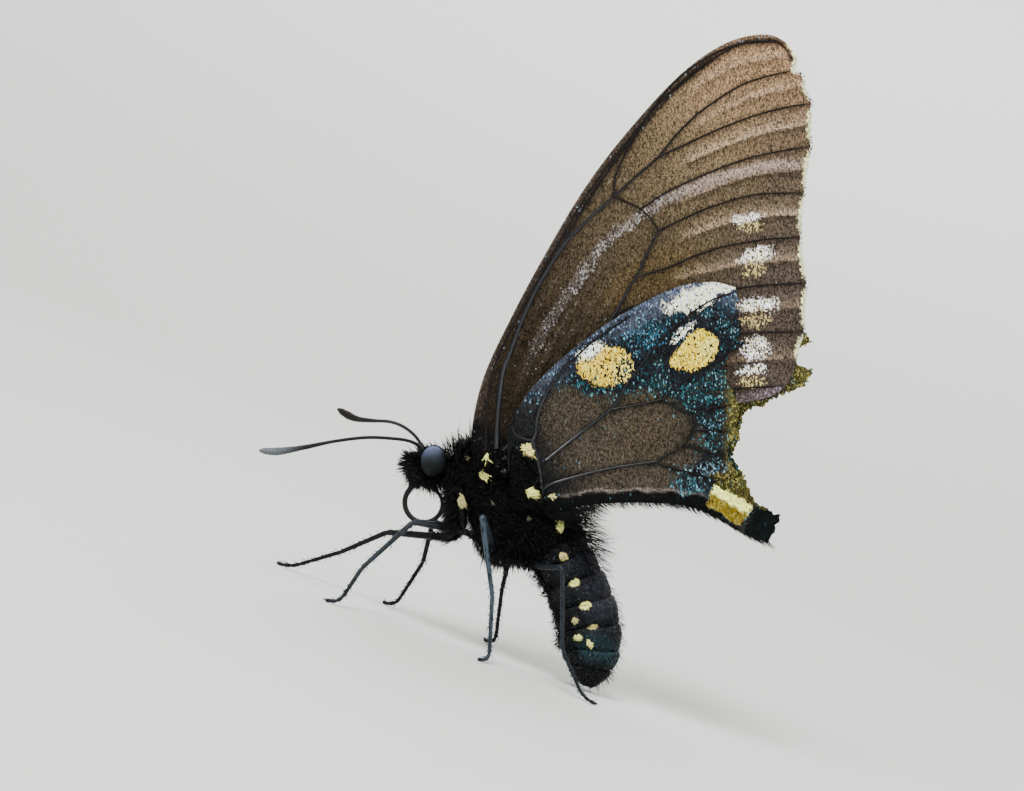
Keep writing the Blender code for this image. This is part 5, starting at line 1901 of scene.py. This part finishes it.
def build_leg(name, joints):
    """Hands in one leg's tube, and returns its bristles."""
    points, run, (hip, trochanter, knee, heel, _, toe) = leg_line(joints)
    coxa = COXA_RADII[name.split("_")[1]]
    radii = np.interp(run, [hip, trochanter - 0.6, trochanter + 0.3,
                            (trochanter + knee) / 2, knee - 0.2,
                            knee + 0.4, heel - 0.3, heel + 0.3, toe - 0.1, toe],
                      np.array([coxa, coxa * 0.8, *LINK_RADII]) * SLIM_LEGS.get(name, 1.0))
    waists = [trochanter, knee, heel] + [heel + (toe - heel) * share for share in FOOT_JOINTS]
    for place in waists:
        radii = radii * (1 - 0.22 * np.exp(-(((run - place) / 0.09) ** 2)))
        radii = radii * (1 + 0.12 * np.exp(-(((run - place + 0.22) / 0.12) ** 2)))
    limb = swept(f"leg_link_{name}", [(points, radii)], 12)
    flat = specimen_points(limb)
    world = to_world(flat)
    world[:, 2] = np.maximum(world[:, 2], 0)
    place_mesh(limb, to_specimen(world))
    nearest = run[nearest_of(flat, points)]
    # Near legs take their painted, sky-lit tone; far legs the dark shell colour.
    layer = Layer(np.zeros((len(flat), 2)), SKYLIT_NEAR_LEG_TONES.get(name, FAR_LEG_TONE))
    layer.wash(soft(nearest, knee, (knee + trochanter) / 2) * 0.85, (14, 16, 19))
    layer.wash(soft(nearest, trochanter + 0.8, trochanter), (4, 4, 5))
    layer.wash(soft(nearest, heel, toe) * 0.6, (17, 19, 21))
    layer.paint_on(limb, "tone")
    hand_in(limb, leg_shell.material, "leg_shell", f"leg_{name}")
    return leg_spines(name, points, run, radii, (trochanter, knee, heel, toe))


def leg_spines(name, points, run, radii, stations):
    """Roots and directions of this leg's bristles, spurs and claws."""
    trochanter, _, heel, _ = stations
    random = np.random.default_rng(sum(map(ord, name)))
    ahead = unit(np.gradient(points, axis=0))
    furred = trochanter + (2.4 if "front" in name else 1.2)
    rows = [(place, random.uniform(0.4, 0.95) * (1 if place < trochanter else 0.6),
             random.uniform(0.03, 0.05), random.uniform(0, 2 * math.pi))
            for place in np.linspace(0.2, furred, round(furred * 150))]
    for first, last, (step, length, width) in zip(stations, stations[1:], SPINE_ROWS):
        for place in np.arange(first + 0.2, last, step):
            rows.append((place, random.uniform(0.7, 1.2) * length, width,
                         random.uniform(0, 2 * math.pi)))
    if "front" in name:
        rows += [(place, random.uniform(0.8, 1.9), 0.05, random.uniform(0, 2 * math.pi))
                 for place in np.linspace(0.2, trochanter + 0.3, 900)]
    rows += [(heel - 0.05, *SPUR_SIZE, turn) for turn in SPUR_TURNS]
    out = []
    for place, length, width, turn in rows:
        i = int(np.argmin(np.abs(run - place)))
        side = unit(np.cross(ahead[i], (0, 0, 1.0)))
        over = np.cross(side, ahead[i])
        facing = side * math.cos(turn) + over * math.sin(turn)
        hangs = "front" in name and length > 0.78
        if hangs and facing[0] > 0.1:
            continue
        forward = np.array([-0.9, 0, 0]) * hangs
        out.append((points[i] + facing * radii[i] * 0.85, facing,
                    ahead[i] * 0.5 + facing * 0.9 + forward,
                    ahead[i] + facing * 0.6 + forward * 0.8, length, width))
    for spread in CLAW_SPREADS:
        side = unit(np.cross(ahead[-1], FLOOR_UP))
        out.append((points[-1], FLOOR_UP, ahead[-1] + side * spread + FLOOR_UP * 0.4,
                    ahead[-1] + side * spread * 0.4 - FLOOR_UP * 0.9, *CLAW_SIZE))
    return out


spines = [row for name, joints in LEGS.items() for row in build_leg(name, joints)]
spines = [np.array(column) for column in zip(*spines)]
roots, ends, lengths = spines[0], spines[3], spines[4]
above = to_world(roots + unit(ends) * lengths[:, None])[:, 2] > CLEARANCE
spines = [column[above] for column in spines]
roots = spines[0]
bristles = spikes("leg_bristles", *spines,
                  np.tile(rgb(*BLACK), (len(roots), 1)), body_unrolled(roots))
hand_in(bristles, fur, "leg_shell")
